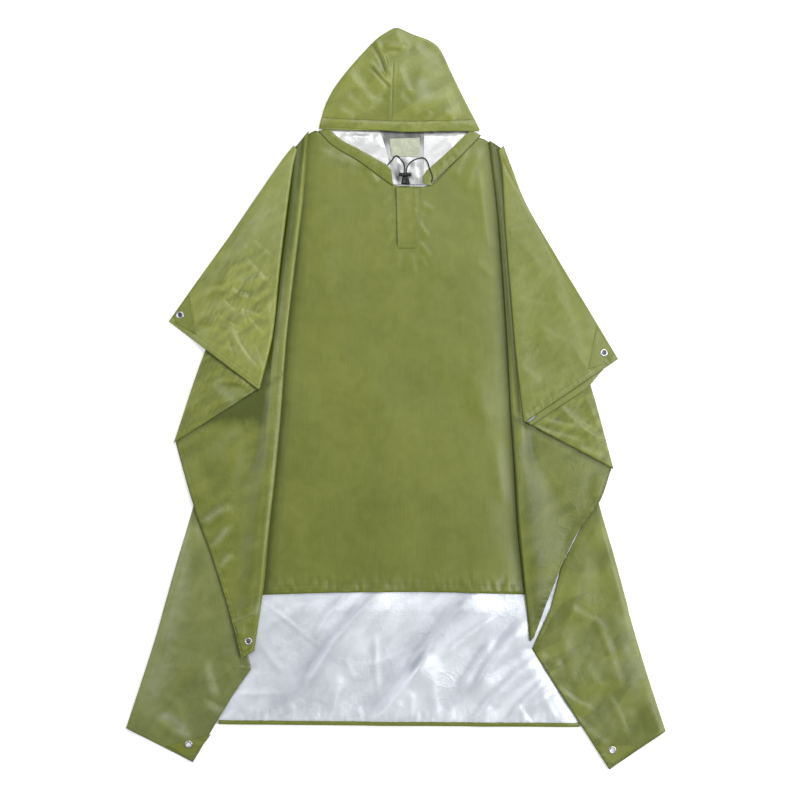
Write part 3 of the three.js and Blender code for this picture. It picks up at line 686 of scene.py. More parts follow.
# Hood
hoodRows = {  # outline, brim
    "left": [
        ((-162, 567), (-141, 565)), ((-158, 584), (-124, 564)), ((-147, 619), (-104, 563)),
        ((-127, 656), (-85, 563)), ((-89, 704), (-66, 563)), ((-44, 752), (-46, 563)),
        ((-17, 771), (-28, 563)), ((-4.03, 778), (-10.03, 563)),
    ],
    "right": [
        ((-3.97, 778), (-9.97, 563)), ((8, 777), (12, 563)), ((32, 766), (36, 563)),
        ((71, 751), (62, 563)), ((93, 732), (86, 563)), ((114, 688), (108, 563)),
        ((141, 632), (130, 563)), ((163, 590), (146, 563)), ((176, 564), (158, 563)),
    ],
}
seamLine = Line([(-4, 778), (-10, 563)])
hoodCreases = [
    (-54, 708, -14, 662, 6, 2.8, 2, 0.35),
    (-54, 700, -16, 655, 2.6, -2.6, 1, 0),
    (-40, 748, -16, 690, 6, 2.8, -3, 0.35),
    (-50, 745, -22, 682, 2.6, -2.6, -3, 0),
    (-34, 733, 8, 731, 2.6, -2.2, 1, 0),
    (-24, 740, 24, 736, 6, 1.6, 0, 0.2),
    (0, 770, 22, 735, 8, 1.6, 2, 0.2),
    (60, 700, 40, 600, 22, 2.2, 4, -0.35),
    (104, 644, 128, 590, 13, 2.2, 3, 0.3),
    (-110, 642, -60, 596, 14, 2.0, 3, 0.3),
    (-100, 688, -46, 624, 12, 2.2, 4, 0.3),
    (-72, 640, -18, 634, 7, -1.4, 2, 0),
    (38, 742, 88, 698, 14, 2.0, 3, 0.3),
    (8, 694, 32, 638, 9, 1.6, 2, 0.3),
    (-122, 608, -88, 590, 8, 1.6, 1, 0.2),
    (72, 602, 60, 584, 5, 1.4, 0, 0),
    (100, 602, 122, 586, 5, 1.4, 0, 0),
    (-12, 668, -60, 600, 12, 1.8, 5, 0.3),
    (6, 640, 50, 596, 12, 1.6, 4, 0.3),
]


def hoodTopHeight(x, y):
    wide = mix(165, 40, ramp(y, 600, 780))
    puff = 2.8 + 3.2 * ramp(y, 566, 626) * ramp(y, 780, 690) * ramp(abs(x - 3), wide, 0)
    detail = 0.4 + 0.9 * wave(x, y, 70, 71) + 1.5 * crumple(x, y, 50, 73)
    detail += creaseHeight(hoodCreases, x, y)
    seam = abs(x - seamLine.acrossAt(y))
    sewn = ramp(y, 585, 591) * ramp(y, 710, 690)
    detail -= 0.5 * sewn * math.exp(-(seam / 1.6) ** 2)
    detail += 0.7 * sewn * math.exp(-((seam - 4) / 3) ** 2) * (0.6 + 0.4 * wave(x, y, 6, 75))
    return layerHeight("hoodTop", 0, y) + puff + clamp(detail, -0.4, 5.5)


# Painted sheen: places where the cloth is painted paler and greyer for the sheen of reflected light, as creases, with
# the height as the amount
rubbed = {
    "front": [(-150, 520, -80, 490, 11, 0.9, -6, 0), (-60, 478, -20, 462, 5, 0.3, 0, 0),
              (150, 520, 120, 470, 9, 0.35, 0, 0)],
    "strip": [
        (-400, -258, -356, -226, 5, 1.1, 0, 0),
        (-384, -308, -350, -270, 5, 0.9, 0, 0), (-368, -350, -345, -326, 4, 0.8, 0, 0),
        (-300, -80, -330, -260, 8, 0.15, 4, 0), (-312, -468, -284, -430, 5, 0.8, 1, 0),
        (-320, -60, -390, -120, 9, 0.35, 3, 0),
    ],
    "fold": [
        (-438, -262, -452, -405, 10, 0.6, 0, 0), (-450, -400, -522, -660, 15, 0.9, -2, 0),
        (-494, -662, -442, -690, 6, 1.3, -3, 0), (-470, -692, -430, -706, 4, 1.2, 0, 0),
        (-394, -556, -380, -620, 5, 1.1, 2, 0), (-398, -640, -368, -655, 4, 1.1, 0, 0),
        (462, -430, 512, -640, 9, 0.8, 0, 0), (476, -490, 500, -606, 7, 0.5, 0, 0),
        (352, -480, 398, -590, 10, 0.5, 6, 0), (392, -520, 446, -570, 9, 0.5, 3, 0),
        (410, -630, 470, -700, 12, 0.6, 3, 0), (340, -560, 385, -640, 8, 0.45, 3, 0),
    ],
    "sleeve": [
        (-270, 400, -340, 300, 12, 0.5, 4, 0), (-350, 300, -410, 215, 10, 0.35, 0, 0),
        (-345, 155, -285, 70, 9, 0.35, 7, 0), (-330, 250, -275, 262, 6, 0.5, 0, 0),
        (-380, 210, -310, 175, 7, 0.45, 3, 0), (-240, 450, -262, 330, 9, 0.35, 0, 0),
        (250, 420, 330, 290, 12, 0.3, -3, 0), (270, 60, 330, 40, 10, 0.25, 0, 0),
    ],
    "mid": [(-380, 40, -330, -10, 9, 0.8, 2, 0), (-345, 20, -300, 0, 5, 0.5, 0, 0),
            (330, -40, 390, -70, 8, 0.3, 2, 0)],
    "hood": [(46, 672, 60, 622, 9, 1.2, -3, 0), (-130, 640, -70, 600, 14, 0.25, 3, 0),
             (20, 720, 70, 660, 14, 0.3, 4, 0), (90, 640, 120, 600, 12, 0.35, 3, 0)],
}


# amount of painted sheen at a place, from 0 to 1
def sheenAt(name, x, y):
    return clamp(0.4 * creaseHeight(rubbed[name], x, y) * (0.8 + 0.7 * wave(x, y, 24, 151)))


# The functions below take a place and its column in the rows of points that a sheet is made from
middleColumns = {"back": (46, 240), "front": (50, 202)}  # between the outer folds of each panel
sleeveTopColumn = 105  # first column of the sleeve on top, after the doubled cloth that it lies on


def inMiddle(panel, column):
    first, last = middleColumns[panel]
    return first <= column <= last


# painted sheen on the folded-over sides, more on the left
def foldSheen(x, y, column):
    return 0.0 if inMiddle("back", column) else clamp(sheenAt("fold", x, y) + (0.20 if x < 0 else 0.05))


# painted sheen on the shoulders and the pleats, and a painted grey reflection band beside the fold of the left pleat
def frontSheen(x, y, column):
    if inMiddle("front", column):
        return sheenAt("front", x, y)
    past = -inside(frontLines, "fold", x, y)
    strength = 0.34 * (1 - 0.8 * ramp(y, 200, 320)) * ramp(y, -80, 80) if x < 0 else 0.0
    band = strength * ramp(abs(past - 17), 11, 0) * (0.6 + 0.7 * wave(x, y, 40, 153))
    return clamp(sheenAt("strip", x, y) + band)


# painted sheen on the sleeves and on the layers under them, more on the left sleeve
def sleeveSheenAndShade(x, y, column):
    if column > sleeveTopColumn:
        return clamp(sheenAt("sleeve", x, y) + (0.05 + 0.13 * ramp(y, 230, 330) if x < 0 else 0.0))
    # painted shade on the silver layer seen through the cuff eyelet
    behindEyelet = math.dist((x, y), eyeletPlaces["cuff_" + sideOf(x)]) < 7
    return clamp(sheenAt("mid", x, y) + 0.9 * behindEyelet)


# painted sheen on the hood
def hoodSheen(x, y, column):
    return sheenAt("hood", x, y)


# Painted light and shade, with some random tone: painted highlights where the cloth stands up and on lit facets,
# painted shade deep in the folds and under edges
def frontToneAndShade(x, y, column):
    fold = inside(frontLines, "fold", x, y)
    if inMiddle("front", column):
        # middle of the front: painted shade beside the pleat folds, painted light towards the top and painted shade
        # towards the bottom, and a painted shadow in the neck slit
        near = 0.22 * (ramp(fold, 31, 3) + ramp(fold, 12, 2)) * (0.55 + 0.45 * ramp(y, 480, 320))
        low = 0.05 * ramp(y, 120, 500) - 0.06 * ramp(y, -60, -360)
        slit = ramp(abs(x - mix(3.6, -0.2, (y - 320) / 126)), 2.6, 0) * (321 < y < 446)
        return low - near - 1.2 * slit + 0.05 * wave(x, y, 90, 131)
    # pleats: painted highlight on the rim of the fold, painted shade in the valley by the sleeve, in a groove and
    # under the flap's hem, and painted light and shade on flat facets, darker on the right
    wing = inside(wingLines, "fold", x, y)
    deep = 15 + 9 * ramp(y, 240, 360)
    valley = 0.72 * ramp(wing, 3 + deep, 3) * ramp(y, -70, -10)
    rim = 0.14 * ramp(abs(fold + 4), 6, 0)
    groove = 0.13 * ramp(abs(fold + 34), 22, 0) * ramp(y, 40, -50)
    drop = hemPlace("tuck", x, y)[1]
    shade = 0.34 * ramp(drop, 13, 0) if drop > -3 else 0.0
    facetShade = (0.14 if x > 0 else 0.0) - 0.12 * flats(x, y, 46, 33) if drop > 0 else 0.0
    return rim - valley - groove - shade - facetShade + 0.08 * wave(x, y, 70, 133)


def sleeveToneAndShade(x, y, column):
    if column < sleeveTopColumn:
        # layers under the sleeve: painted shadow below the sleeve's hem, painted shade in the cuff eyelet, and painted
        # light and shade on flat facets
        shade = 0.40 * ramp(hemPlace("edge", x, y)[1], 13, 0)
        shade += 0.8 * blob(x, y, eyeletPlaces["cuff_" + sideOf(x)], 9)
        facet = 0.12 * (crumple(x, y, 24, 63) - 0.5) + 0.20 * flats(x, y, 24, 63) + 0.1 * flats(y, x, 11, 66)
        return facet - shade + 0.10 * wave(x, y, 44, 134)
    # sleeve on top: painted light, more on the left sleeve, near the shoulder and towards the outside, and painted
    # light and shade on flat facets
    even, rough, low = 0.06, 0.08, 0.0
    if x < 0:
        even, rough, low = 0.24, 0.14 + 0.42 * blob(x, y, (-325, 200), 160), 0.08 * ramp(y, 220, 130)
    facet = 0.4 * (crumple(x, y, 30, 53) - 0.5) + 0.7 * flats(x, y, 30, 53) + 0.4 * flats(y, x, 14, 56)
    out = 0.03 * clamp(-inside(wingLines, "fold", x, y) / 150)
    return even + 0.08 * ramp(y, 330, 460) + low + rough * facet + out + 0.08 * wave(x, y, 60, 135)


def edgeAt(points, x):  # height up the garment of a line that runs across it
    i = clamp(bisect_right([p[0] for p in points], x) - 1, 0, len(points) - 2)
    (x0, y0), (x1, y1) = points[i], points[i + 1]
    return mix(y0, y1, (x - x0) / (x1 - x0))


brimRows = [  # edge, stitching
    ((-159, 570), (-154, 589)), ((-100, 567.5), (-92, 585)), ((-41, 563.5), (-38, 583)),
    ((26, 559.5), (26, 581)), ((90, 561), (87, 582)), ((174, 561), (162, 584)),
]
brimEdge, brimStitches = zip(*brimRows)


def hoodToneAndShade(x, y, column):
    # painted light over the hood and on flat facets, painted shade in the troughs of creases; darker along the crown
    # seam and the brim's stitching
    grooves = 0.25 * clamp(-creaseHeight(hoodCreases[1:5:2], x, y) / 2)
    seam = 0.16 * math.exp(-((x - seamLine.acrossAt(y)) / 1.2) ** 2) * (585 < y < 700)
    stitched = ramp(abs(edgeAt(brimStitches, x) - y - 0.3), 1.5, 0) * (0.21 + 0.27 * wave(x, y, 4, 155))
    facet = 0.18 * (crumple(x, y, 50, 73) - 0.5) + 0.17 * flats(x, y, 56, 73)
    return 0.20 + facet - grooves - seam - stitched + 0.08 * wave(x, y, 46, 137)


def backToneAndShade(x, y, column):
    if inMiddle("back", column):
        # silver: lighter overall, painted light on slopes that face the lower right, painted shade in troughs, in a
        # patch and beside the right folded-over side, and painted light and shade on flat facets
        lit = ground(x + 5, y - 5) - ground(x - 5, y + 5)
        trough = clamp(-creaseHeight(silverCreases[:8], x, y) / 2.5)
        right = 0.03 * ramp(x, -200, 280) - 0.08 * blob(x, y, (170, -440), 150)
        right -= 0.2 * ramp(inside(backLines, "edge", x, y), 60, 0) * (x > 0)
        facet = 0.06 * (crumple(x, y, 44, 5) - 0.5) + 0.10 * flats(x, y, 44, 5)
        shade = ramp(y, -395, -455) * (0.04 * lit + 0.17 * trough)
        return 0.45 + right + facet - shade + 0.05 * wave(x, y, 60, 141)
    # folded-over sides: painted highlight along the outer fold, painted glints on flat facets and painted shade
    # further in on the left
    fold = inside(backLines, "fold", x, y)
    even, inner, glint = (0.02, 0.0, 0.26) if x > 0 else (0.0, 0.08 * ramp(fold, 60, 120), 0.08)
    facet = 0.12 * (crumple(x, y, 66, 23) - 0.5) + glint * flats(x, y, 66, 23)
    return even + 0.08 * ramp(fold, 6, 0) - inner + facet - 0.05 + 0.07 * wave(x, y, 52, 139)


def sideLiningShadow(x, y, column):  # painted shadow: a dark line below the edge of the hood
    below = edgeAt(brimEdge, x) - y
    return clamp(0.9 * ramp(below, 7, 2) + 0.22 * ramp(below, 18, 2))


def neckMiddle(x):
    return ramp(abs(x - 14), 46, 38)


# a wave that places the painted shade of folds behind the neck
def neckFoldShade(x, y, size, seed):
    return wave(x * 1.6 + 0.5 * y, y * 0.7, size, seed)


def neckShade(x, y, column):  # painted shadow below the edge of the hood, and painted shade in grey folds, high up behind the neck and beside the right lining
    folds = neckMiddle(x) * ramp(y, 518, 502) * clamp(0.36 + 1.5 * neckFoldShade(x, y, 19, 145))
    back = neckMiddle(x) * (0.3 * ramp(y, 500, 514) + 0.5 * ramp(y, 532, 546))
    beside = 0.45 * ramp(abs(x - 53), 8, 0) * ramp(y, 452, 466)
    return clamp(sideLiningShadow(x, y, column) + max(folds, back, beside))


# painted light on the neck lining, painted shade in its middle under the hood's edge, and painted light and shade on
# folds
def neckToneAndShade(x, y, column):
    return 0.20 - 0.5 * neckMiddle(x) * ramp(y, 526, 540) + 0.3 * neckFoldShade(x, y, 22, 149)


# painted light on the raised side linings, painted light and shade on flat facets, and random tone
def sideLiningToneAndShade(x, y, column):
    return 0.30 + 0.20 * wave(x, y, 30, 147) + 0.13 * flats(x, y, 24, 118)


# the hood's light and shade, with painted shade on the part of the brim turned under
def brimToneAndShade(x, y, column):
    return hoodToneAndShade(x, y, column) - (0.5 if column > brim["steps"] + 1 else 0.0)


def seamTone(light, dark, width):  # darker along the columns beside a seam
    return lambda x, y, column: light if column >= width else dark


def evenTone(size, seed, light, swing):
    return lambda x, y, column: light + swing * wave(x, y, size, seed)


def crushed(amount):
    return evenTone(70, 143, amount, 0.25)


# A section runs from one edge of a piece to the other, and is made of these lists of points
def stretch(height, start, end, steps, skip=0):
    places = (mixPoint(start, end, i / steps) for i in range(skip, steps + 1))
    return [(x, y, height(x, y)) for x, y in places]


def bend(centre, out, reach, first, last, steps):  # half round a fold, from one height to another
    points = []
    for i in range(1, steps):
        a = math.pi * (i / steps - 0.5)
        x, y = shifted(centre, out, reach * math.cos(a))
        points.append((x, y, (first + last) / 2 + (last - first) / 2 * math.sin(a)))
    return points


def layerBend(centre, out, reach, fromLayer, toLayer, steps):
    return bend(centre, out, reach, fromLayer(*centre), toLayer(*centre), steps)


def added(name, data):
    made = bpy.data.objects.new(name, data)
    bpy.context.scene.collection.objects.link(made)
    return made


def meshPiece(bm, name, materialNames):
    mesh = bpy.data.meshes.new(name)
    bm.to_mesh(mesh)
    bm.free()
    for material in materialNames:
        mesh.materials.append(materials[material])
    return added(name, mesh)


def finishPiece(bm, name, slotName, materialNames, nodes=()):
    piece = meshPiece(bm, name, materialNames)
    for polygon in piece.data.polygons:
        polygon.use_smooth = True
    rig.ride(piece, "root")
    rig.slot(piece, slotName)
    if nodes:
        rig.replaces(piece, *nodes)
    return piece


def lengthsAlong(path):  # in metres, from the start of a path to each of its points
    return [0.0, *accumulate(math.dist(a, b) * mm for a, b in zip(path, path[1:]))]


sheetSizes = {}  # width, length and area of each sheet laid out flat, in metres


def flatSize(rows):
    area = 0.0
    for upper, lower in zip(rows, rows[1:]):
        for a, b, c, d in zip(upper, upper[1:], lower[1:], lower):
            first, second = Vector(c) - Vector(a), Vector(d) - Vector(b)
            area += first.cross(second).length / 2 * mm * mm
    width, length = (max(lengthsAlong(path)[-1] for path in paths) for paths in (rows, list(zip(*rows))))
    return width, length, area


# painted highlight on crests and painted shade in hollows, by how far a place stands out; crush is the default
# strength of the crease lines
crestShadeAndCrush = {"crest": 0.12, "relief": 0.8, "reach": 2, "crush": 0.35}


def crestAt(rows, j, i):  # how far a place stands above the cloth round it, from -1 to 1
    tall = min(crestShadeAndCrush["reach"], j, len(rows) - 1 - j)
    wide = min(crestShadeAndCrush["reach"], i, len(rows[0]) - 1 - i)
    near = rows[j - tall][i], rows[j + tall][i], rows[j][i - wide], rows[j][i + wide]
    return clamp((rows[j][i][2] - sum(p[2] for p in near) / 4) / crestShadeAndCrush["relief"], -1, 1)


def gridMesh(rows, across, along, layerNames=()):  # from rows of points, and the places of its UV map
    bm = bmesh.new()
    bmesh.ops.create_grid(bm, x_segments=len(rows[0]) - 1, y_segments=len(rows) - 1, size=1)
    for name in layerNames:
        bm.verts.layers.float.new(name)
    uv = bm.loops.layers.uv.new("cloth")
    vertices = {}
    for vertex in bm.verts:
        i = round((vertex.co.x + 1) / 2 * (len(rows[0]) - 1))
        j = round((vertex.co.y + 1) / 2 * (len(rows) - 1))
        vertex.co = Vector(rows[j][i]) * mm
        vertices[j, i] = vertex
        for loop in vertex.link_loops:
            loop[uv].uv = (across[i], along[j])
    return bm, vertices


# Rows of points run from the top of the garment down; faceUp is the row and column of a place whose outside looks up;
# the functions for random tone with painted light and shade, for crush, and for the mix of painted sheen and shade
# take x, y and the column
def clothSheet(name, rows, faceUp, nodes, slotName="cloth_green", cloths=("outside", "inside"),
               holes=(), tone=None, crush=None, pale=None, crisp=False):
    layerNames = ("tone", "crush", "pale")
    spine = [row[len(row) // 2] for row in rows]
    bm, vertices = gridMesh(rows, lengthsAlong(rows[len(rows) // 2]), lengthsAlong(spine), layerNames)
    toneShadeLayer, crushLayer, paintedLightLayer = (bm.verts.layers.float[k] for k in layerNames)
    for (j, i), vertex in vertices.items():
        x, y = rows[j][i][:2]
        # painted highlight on crests and painted shade in hollows, added to the tone
        vertex[toneShadeLayer] = crestShadeAndCrush["crest"] * crestAt(rows, j, i) + (tone(x, y, i) if tone else 0)
        vertex[crushLayer] = crush(x, y, i) if crush else crestShadeAndCrush["crush"]
        # amount of the fabric's painted colour that is mixed in: painted sheen on the green, painted shade on the
        # silver
        vertex[paintedLightLayer] = pale(x, y, i) if pale else 0
    bm.normal_update()
    if vertices[faceUp].normal.z < 0:
        bmesh.ops.reverse_faces(bm, faces=bm.faces[:])
    for hole in holes:
        openHole(bm, *hole)
    if crisp:  # no rounding where the cloth meets its neighbour at a seam
        for edge in bm.edges:
            edge.smooth = not edge.is_boundary
    piece = finishPiece(bm, name, slotName, cloths, nodes)
    sheetSizes[piece.name] = flatSize(rows)
    wall = piece.modifiers.new("thickness", "SOLIDIFY")
    wall.thickness = cloth["thickness"] * mm
    wall.offset = 0
    wall.material_offset = 1
    wall.material_offset_rim = 0
    return piece


eyelet = {"outer": 8.0, "bore": 4.3, "barrel": 5.0, "hole": 5.6, "flange": 0.95, "rise": 0.5}


def openHole(bm, x, y, lowest=0.0):  # a round hole for an eyelet, its rim drawn to a circle
    middle = Vector((x * mm, y * mm))
    rim = eyelet["hole"] * mm
    doomed = [v for v in bm.verts if (v.co.xy - middle).length < rim * 0.75 and v.co.z > lowest * mm]
    near = {w for v in doomed for f in v.link_faces for w in f.verts} - set(doomed)
    bmesh.ops.delete(bm, geom=doomed, context="VERTS")
    for vertex in near:
        if vertex.is_valid and vertex.is_boundary:
            away = vertex.co.xy - middle
            place = middle + away.normalized() * rim
            vertex.co.x, vertex.co.y = place.x, place.y


def spread(count, dense=None):  # row positions from 0 to 1, closer together past a place
    if dense is None:
        return [i / (count - 1) for i in range(count)]
    start, share = dense
    first = int(count * (1 - share))
    head = [start * i / first for i in range(first)]
    return head + [mix(start, 1, i / (count - first - 1)) for i in range(count - first)]


eyeletPlaces = {
    "cuff_left": (-453, 176), "cuff_right": (436, 97), "front_left": (-309, -507),
    "back_left": (-435, -724), "back_right": (454, -736),
}


# Finishes
class Wire:  # an output of a shader node; sums and products of wires add their Math nodes

    def __init__(self, finish, socket):
        self.finish = finish
        self.socket = socket

    def maths(self, operation, first, second):
        return self.finish.node("Math", {"operation": operation}, {0: first, 1: second})

    def __add__(self, other):
        return self.maths("ADD", self, other)

    __radd__ = __add__

    def __sub__(self, other):
        return self.maths("SUBTRACT", self, other)

    def __rsub__(self, other):
        return self.maths("SUBTRACT", other, self)

    def __mul__(self, other):
        return self.maths("MULTIPLY", self, other)

    def __pow__(self, other):
        return self.maths("POWER", self, other)


class Finish:  # a material while it is being made

    def __init__(self, name):
        material = bpy.data.materials.new(name)
        material.use_nodes = True
        self.tree = material.node_tree
        self.spot = self.place((1, 1, 1))
        materials[name] = material

    def node(self, kind, settings=None, sockets=None, output=0):
        made = self.tree.nodes.new("ShaderNode" + kind)
        for key, value in (settings or {}).items():
            setattr(made, key, value)
        self.fill(made, sockets or {})
        return Wire(self, made.outputs[output])

    def fill(self, node, sockets):
        for key, value in sockets.items():
            if isinstance(value, Wire):
                self.tree.links.new(value.socket, node.inputs[key])
            else:
                node.inputs[key].default_value = value

    def place(self, scale, uvMap=None):  # coordinates, stretched by a factor for each axis
        if uvMap:
            spot = self.node("UVMap", {"uv_map": uvMap})
        else:
            spot = self.node("TexCoord", output="Object")
        return self.node("Mapping", {}, {"Vector": spot, "Scale": scale})

    def grain(self, spot, scale, detail=2.0, distortion=0.0, output=0):
        return self.node("TexNoise", {}, {
            "Vector": spot, "Scale": scale, "Detail": detail, "Distortion": distortion}, output)

    def attribute(self, name):
        return self.node("Attribute", {"attribute_name": name}, output="Fac")

    def steps(self, wire, low, high):  # 0 below one level, 1 above another
        return self.node("MapRange", {"clamp": True}, {"Value": wire, "From Min": low, "From Max": high})

    def blend(self, factor, first, second):
        return self.node("Mix", {"data_type": "RGBA"}, {0: factor, 6: first, 7: second}, output=2)

    def bump(self, height, distance, normal=None):
        sockets = {"Height": height, "Distance": distance, "Strength": 1.0}
        return self.node("Bump", {}, {**sockets, "Normal": normal} if normal else sockets)

    def surface(self, colour, roughness, **others):
        sockets = {"Base Color": colour, "Roughness": roughness}
        sockets.update({key.replace("_", " "): value for key, value in others.items()})
        self.fill(self.tree.nodes["Principled BSDF"], sockets)


materials = {}
coatedMetal = {"ribs": 0.08, "metallic": 0.42, "roughness": 0.40, "coat": 0.0, "crinkle": 0.0004}
# light and deep are the ends of the ramp that random tone and painted light and shade move along; the third colour is
# mixed in as painted sheen on the green and as painted shade on the silver
fabrics = {
    "outside": {
        "light": (0.305, 0.342, 0.058, 1), "deep": (0.070, 0.092, 0.000, 1),
        "rubbed": (0.375, 0.415, 0.270, 1), "ribs": 0.26,
        "metallic": 0.0, "roughness": 0.42, "coat": 0.30, "crinkle": 0.0004,
    },
    "lining": {
        "light": (0.97, 0.975, 0.975, 1), "deep": (0.25, 0.26, 0.27, 1),
        "rubbed": (0.03, 0.035, 0.025, 1), **coatedMetal,
    },
    "inside": {
        "light": (0.885, 0.93, 1.0, 1), "deep": (0.24, 0.275, 0.35, 1),
        "rubbed": (0.05, 0.055, 0.05, 1), **coatedMetal,
    },
    "pale": {
        "light": (0.90, 0.91, 0.80, 1), "deep": (0.16, 0.22, 0.05, 1),
        "rubbed": (0.9, 0.9, 0.85, 1), "ribs": 0.1,
        "metallic": 0.0, "roughness": 0.38, "coat": 0.3, "crinkle": 0.0009,
    },
}


def coatedCloth(name):
    look = fabrics[name]
    finish = Finish(name)
    spot = finish.spot
    ribs = finish.grain(finish.place((900, 14, 1), "cloth"), 1.0)
    threads = finish.grain(finish.place((2600, 2600, 1), "cloth"), 1.0, 1.0)
    soft = finish.grain(spot, 7, 3.0, 0.4) - 0.5
    mottle = finish.grain(spot, 34, 4.0, 0.8) - 0.5
    pull = finish.grain(spot, 26, output="Color")
    bent = finish.node("Mix", {"data_type": "VECTOR"}, {0: 0.022, 4: spot, 5: pull}, output=1)
    creases = 0
    for scale, width, share in ((34, 0.16, 0.6), (88, 0.2, 0.4)):  # sharp lines round flat facets
        edge = finish.node("TexVoronoi", {"feature": "DISTANCE_TO_EDGE"}, {"Vector": bent, "Scale": scale})
        creases = creases + (1 - finish.steps(edge, 0.0, width)) ** 1.6 * share
    patchy = finish.steps(finish.grain(spot, 15), 0.42, 0.62)
    lines = creases * finish.attribute("crush") * (patchy + 0.25)
    ribbing = ribs - 0.5
    shade = soft * 0.28 + mottle * 0.26 + ribbing * look["ribs"] + 0.45
    # add the painted light and shade of each point to the random tone
    shade = shade + finish.attribute("tone") + (lines - 0.12) * 0.07
    colour = finish.blend(finish.steps(shade, 0.0, 1.0), look["deep"], look["light"])
    # mix in the painted sheen colour, on silver the painted shade colour, where each point asks
    colour = finish.blend(finish.attribute("pale") * (mottle * 0.9 + 0.75), colour, look["rubbed"])
    gloss = mottle * 0.2 + ribbing * 0.08 + look["roughness"]
    fine = finish.bump(threads * 0.35 + ribs, 0.0001)
    finish.surface(colour, gloss, Metallic=look["metallic"], Coat_Weight=look["coat"],
                   Coat_Roughness=0.26, Normal=finish.bump(lines + mottle * 0.35, look["crinkle"], fine))


def eyeletMetal():
    finish = Finish("nickel")
    worn = finish.grain(finish.spot, 420, 3.0)
    scratches = finish.grain(finish.place((1, 9, 1)), 700)
    colour = finish.blend(finish.steps(worn, 0.4, 0.7), (0.72, 0.73, 0.75, 1), (0.5, 0.5, 0.52, 1))
    finish.surface(colour, worn * 0.12 + 0.26, Metallic=1.0, Normal=finish.bump(scratches, 0.00001))


def braidedCord():
    finish = Finish("braid")
    left, right = (finish.node("TexWave", {"bands_direction": "DIAGONAL"}, {
        "Vector": finish.place((way, 1, 1), "cloth"), "Scale": 260, "Distortion": 0.3}) for way in (1, -1))
    braid = left * right
    colour = finish.blend(braid, (0.006, 0.006, 0.007, 1), (0.03, 0.03, 0.032, 1))
    finish.surface(colour, 0.62 - braid * 0.14, Normal=finish.bump(braid, 0.00022))


def mouldedPlastic():
    finish = Finish("plastic")
    spark, cloud = finish.grain(finish.spot, 900, 3.0), finish.grain(finish.spot, 90)
    colour = finish.blend(cloud, (0.004, 0.004, 0.005, 1), (0.009, 0.009, 0.010, 1))
    finish.surface(colour, cloud * 0.14 + 0.36, Normal=finish.bump(spark, 0.00005))


def sewingThread():
    finish = Finish("thread")
    twist = finish.grain(finish.spot, 1500)
    colour = finish.blend(twist, (0.085, 0.10, 0.022, 1), (0.15, 0.17, 0.045, 1))
    finish.surface(colour, 0.6 - twist * 0.1, Normal=finish.bump(twist, 0.00008))


def floorFinish():
    finish = Finish("floor")
    colour = finish.blend(finish.grain(finish.spot, 3.0), (0.93, 0.93, 0.93, 1), (0.95, 0.95, 0.95, 1))
    finish.surface(colour, 0.9, Emission_Color=(1, 1, 1, 1), Emission_Strength=0.35)


for fabric in fabrics:
    coatedCloth(fabric)
for makeFinish in (eyeletMetal, braidedCord, mouldedPlastic, sewingThread, floorFinish):
    makeFinish()
print("finishes made")


# Back panel, with its sides folded over onto the front
backParts = {
    "rows": 168, "dense": (0.7, 0.66),    # rows down the panel, closer together where the silver shows
    "reach": 1.5, "gap": 0.3,             # of the outer fold
    "over": 38, "bend": 5, "under": 8, "middle": 176,  # steps along each stretch of a section
}


def backSide(side, t):  # from the folded-over edge, round the fold and under to the end of the hem
    lines = backLines[side]
    fold, reach = lines["fold"].at(t), backParts["reach"]
    out = unit(backLines[otherSide[side]]["fold"].at(t), fold)
    centre = shifted(fold, out, -reach - backParts["gap"])
    return (stretch(foldOverHeight, lines["edge"].at(t), centre, backParts["over"])
            + layerBend(centre, out, reach, foldOverHeight, backHeight, backParts["bend"])
            + stretch(backHeight, centre, lines["hem"].at(t), backParts["under"]))


def backPanel():
    rows = []
    for t in spread(backParts["rows"], backParts["dense"]):
        left, right = backSide("left", t), backSide("right", t)
        middle = stretch(backHeight, left[-1][:2], right[-1][:2], backParts["middle"], skip=1)
        rows.append(left + middle + right[-2::-1])
    return clothSheet("back_shell", rows, (160, 15), ["back_panel"], "cloth_silver", tone=backToneAndShade,
                      crush=crushed(0.5), pale=foldSheen,
                      holes=[eyeletPlaces["back_left"], eyeletPlaces["back_right"]])


backHem = {"width": 8, "rise": 1.1, "plump": 0.9, "steps": 240, "folds": 7, "run": 0.998}


def backHemBand():
    rows = []
    for i in range(backHem["steps"] + 1):
        x, y = mixPoint(*backHemEnds, backHem["run"] * i / backHem["steps"])
        width = backHem["width"] + 0.8 * wave(x, 0, 14, 81)
        path = []
        for j in range(backHem["folds"] + 1):
            v = j / backHem["folds"]
            up = y + width * (1 - v) - 0.4
            plump = backHem["plump"] * math.sin(math.pi * v) * (1 + 0.5 * wave(x, up, 6, 83))
            path.append((x, up, backHeight(x, up) + backHem["rise"] + plump))
        low = backHeight(x, y) + backHem["rise"]
        rows.append([*path, (x, y - 1.2, low - 0.5), (x, y - 1.0, low - 1.4)])
    return clothSheet("back_hem_band", rows, (120, 4), ["back_hem"])


# Front panel: the middle, and a pleat laid back on it along each side
frontParts = {
    "rows": 204, "dense": (0.8, 0.3),
    "reach": 2.2, "turnReach": 1.2,       # of the fold over the centre and of the hidden turn
    "strip": 36, "bend": 6, "return": 3, "turn": 4, "middle": 140,
}
neckPoints = [frontLines["left"]["turn"].points[0], *neckline, frontLines["right"]["turn"].points[0]]


def neckTop(across):
    x = mix(neckPoints[0][0], neckPoints[-1][0], across)
    return x, edgeAt(neckPoints, x)


def frontCrush(x, y, column):
    strip = 0.0 if inMiddle("front", column) else 0.5
    return 0.15 + max(0.55 * blob(x, y, (25, 370), 110), 0.5 * ramp(y, -351, -411), strip)


def returnHeight(x, y):
    return layerHeight("pleatReturn", x, y) + ground(x, y)


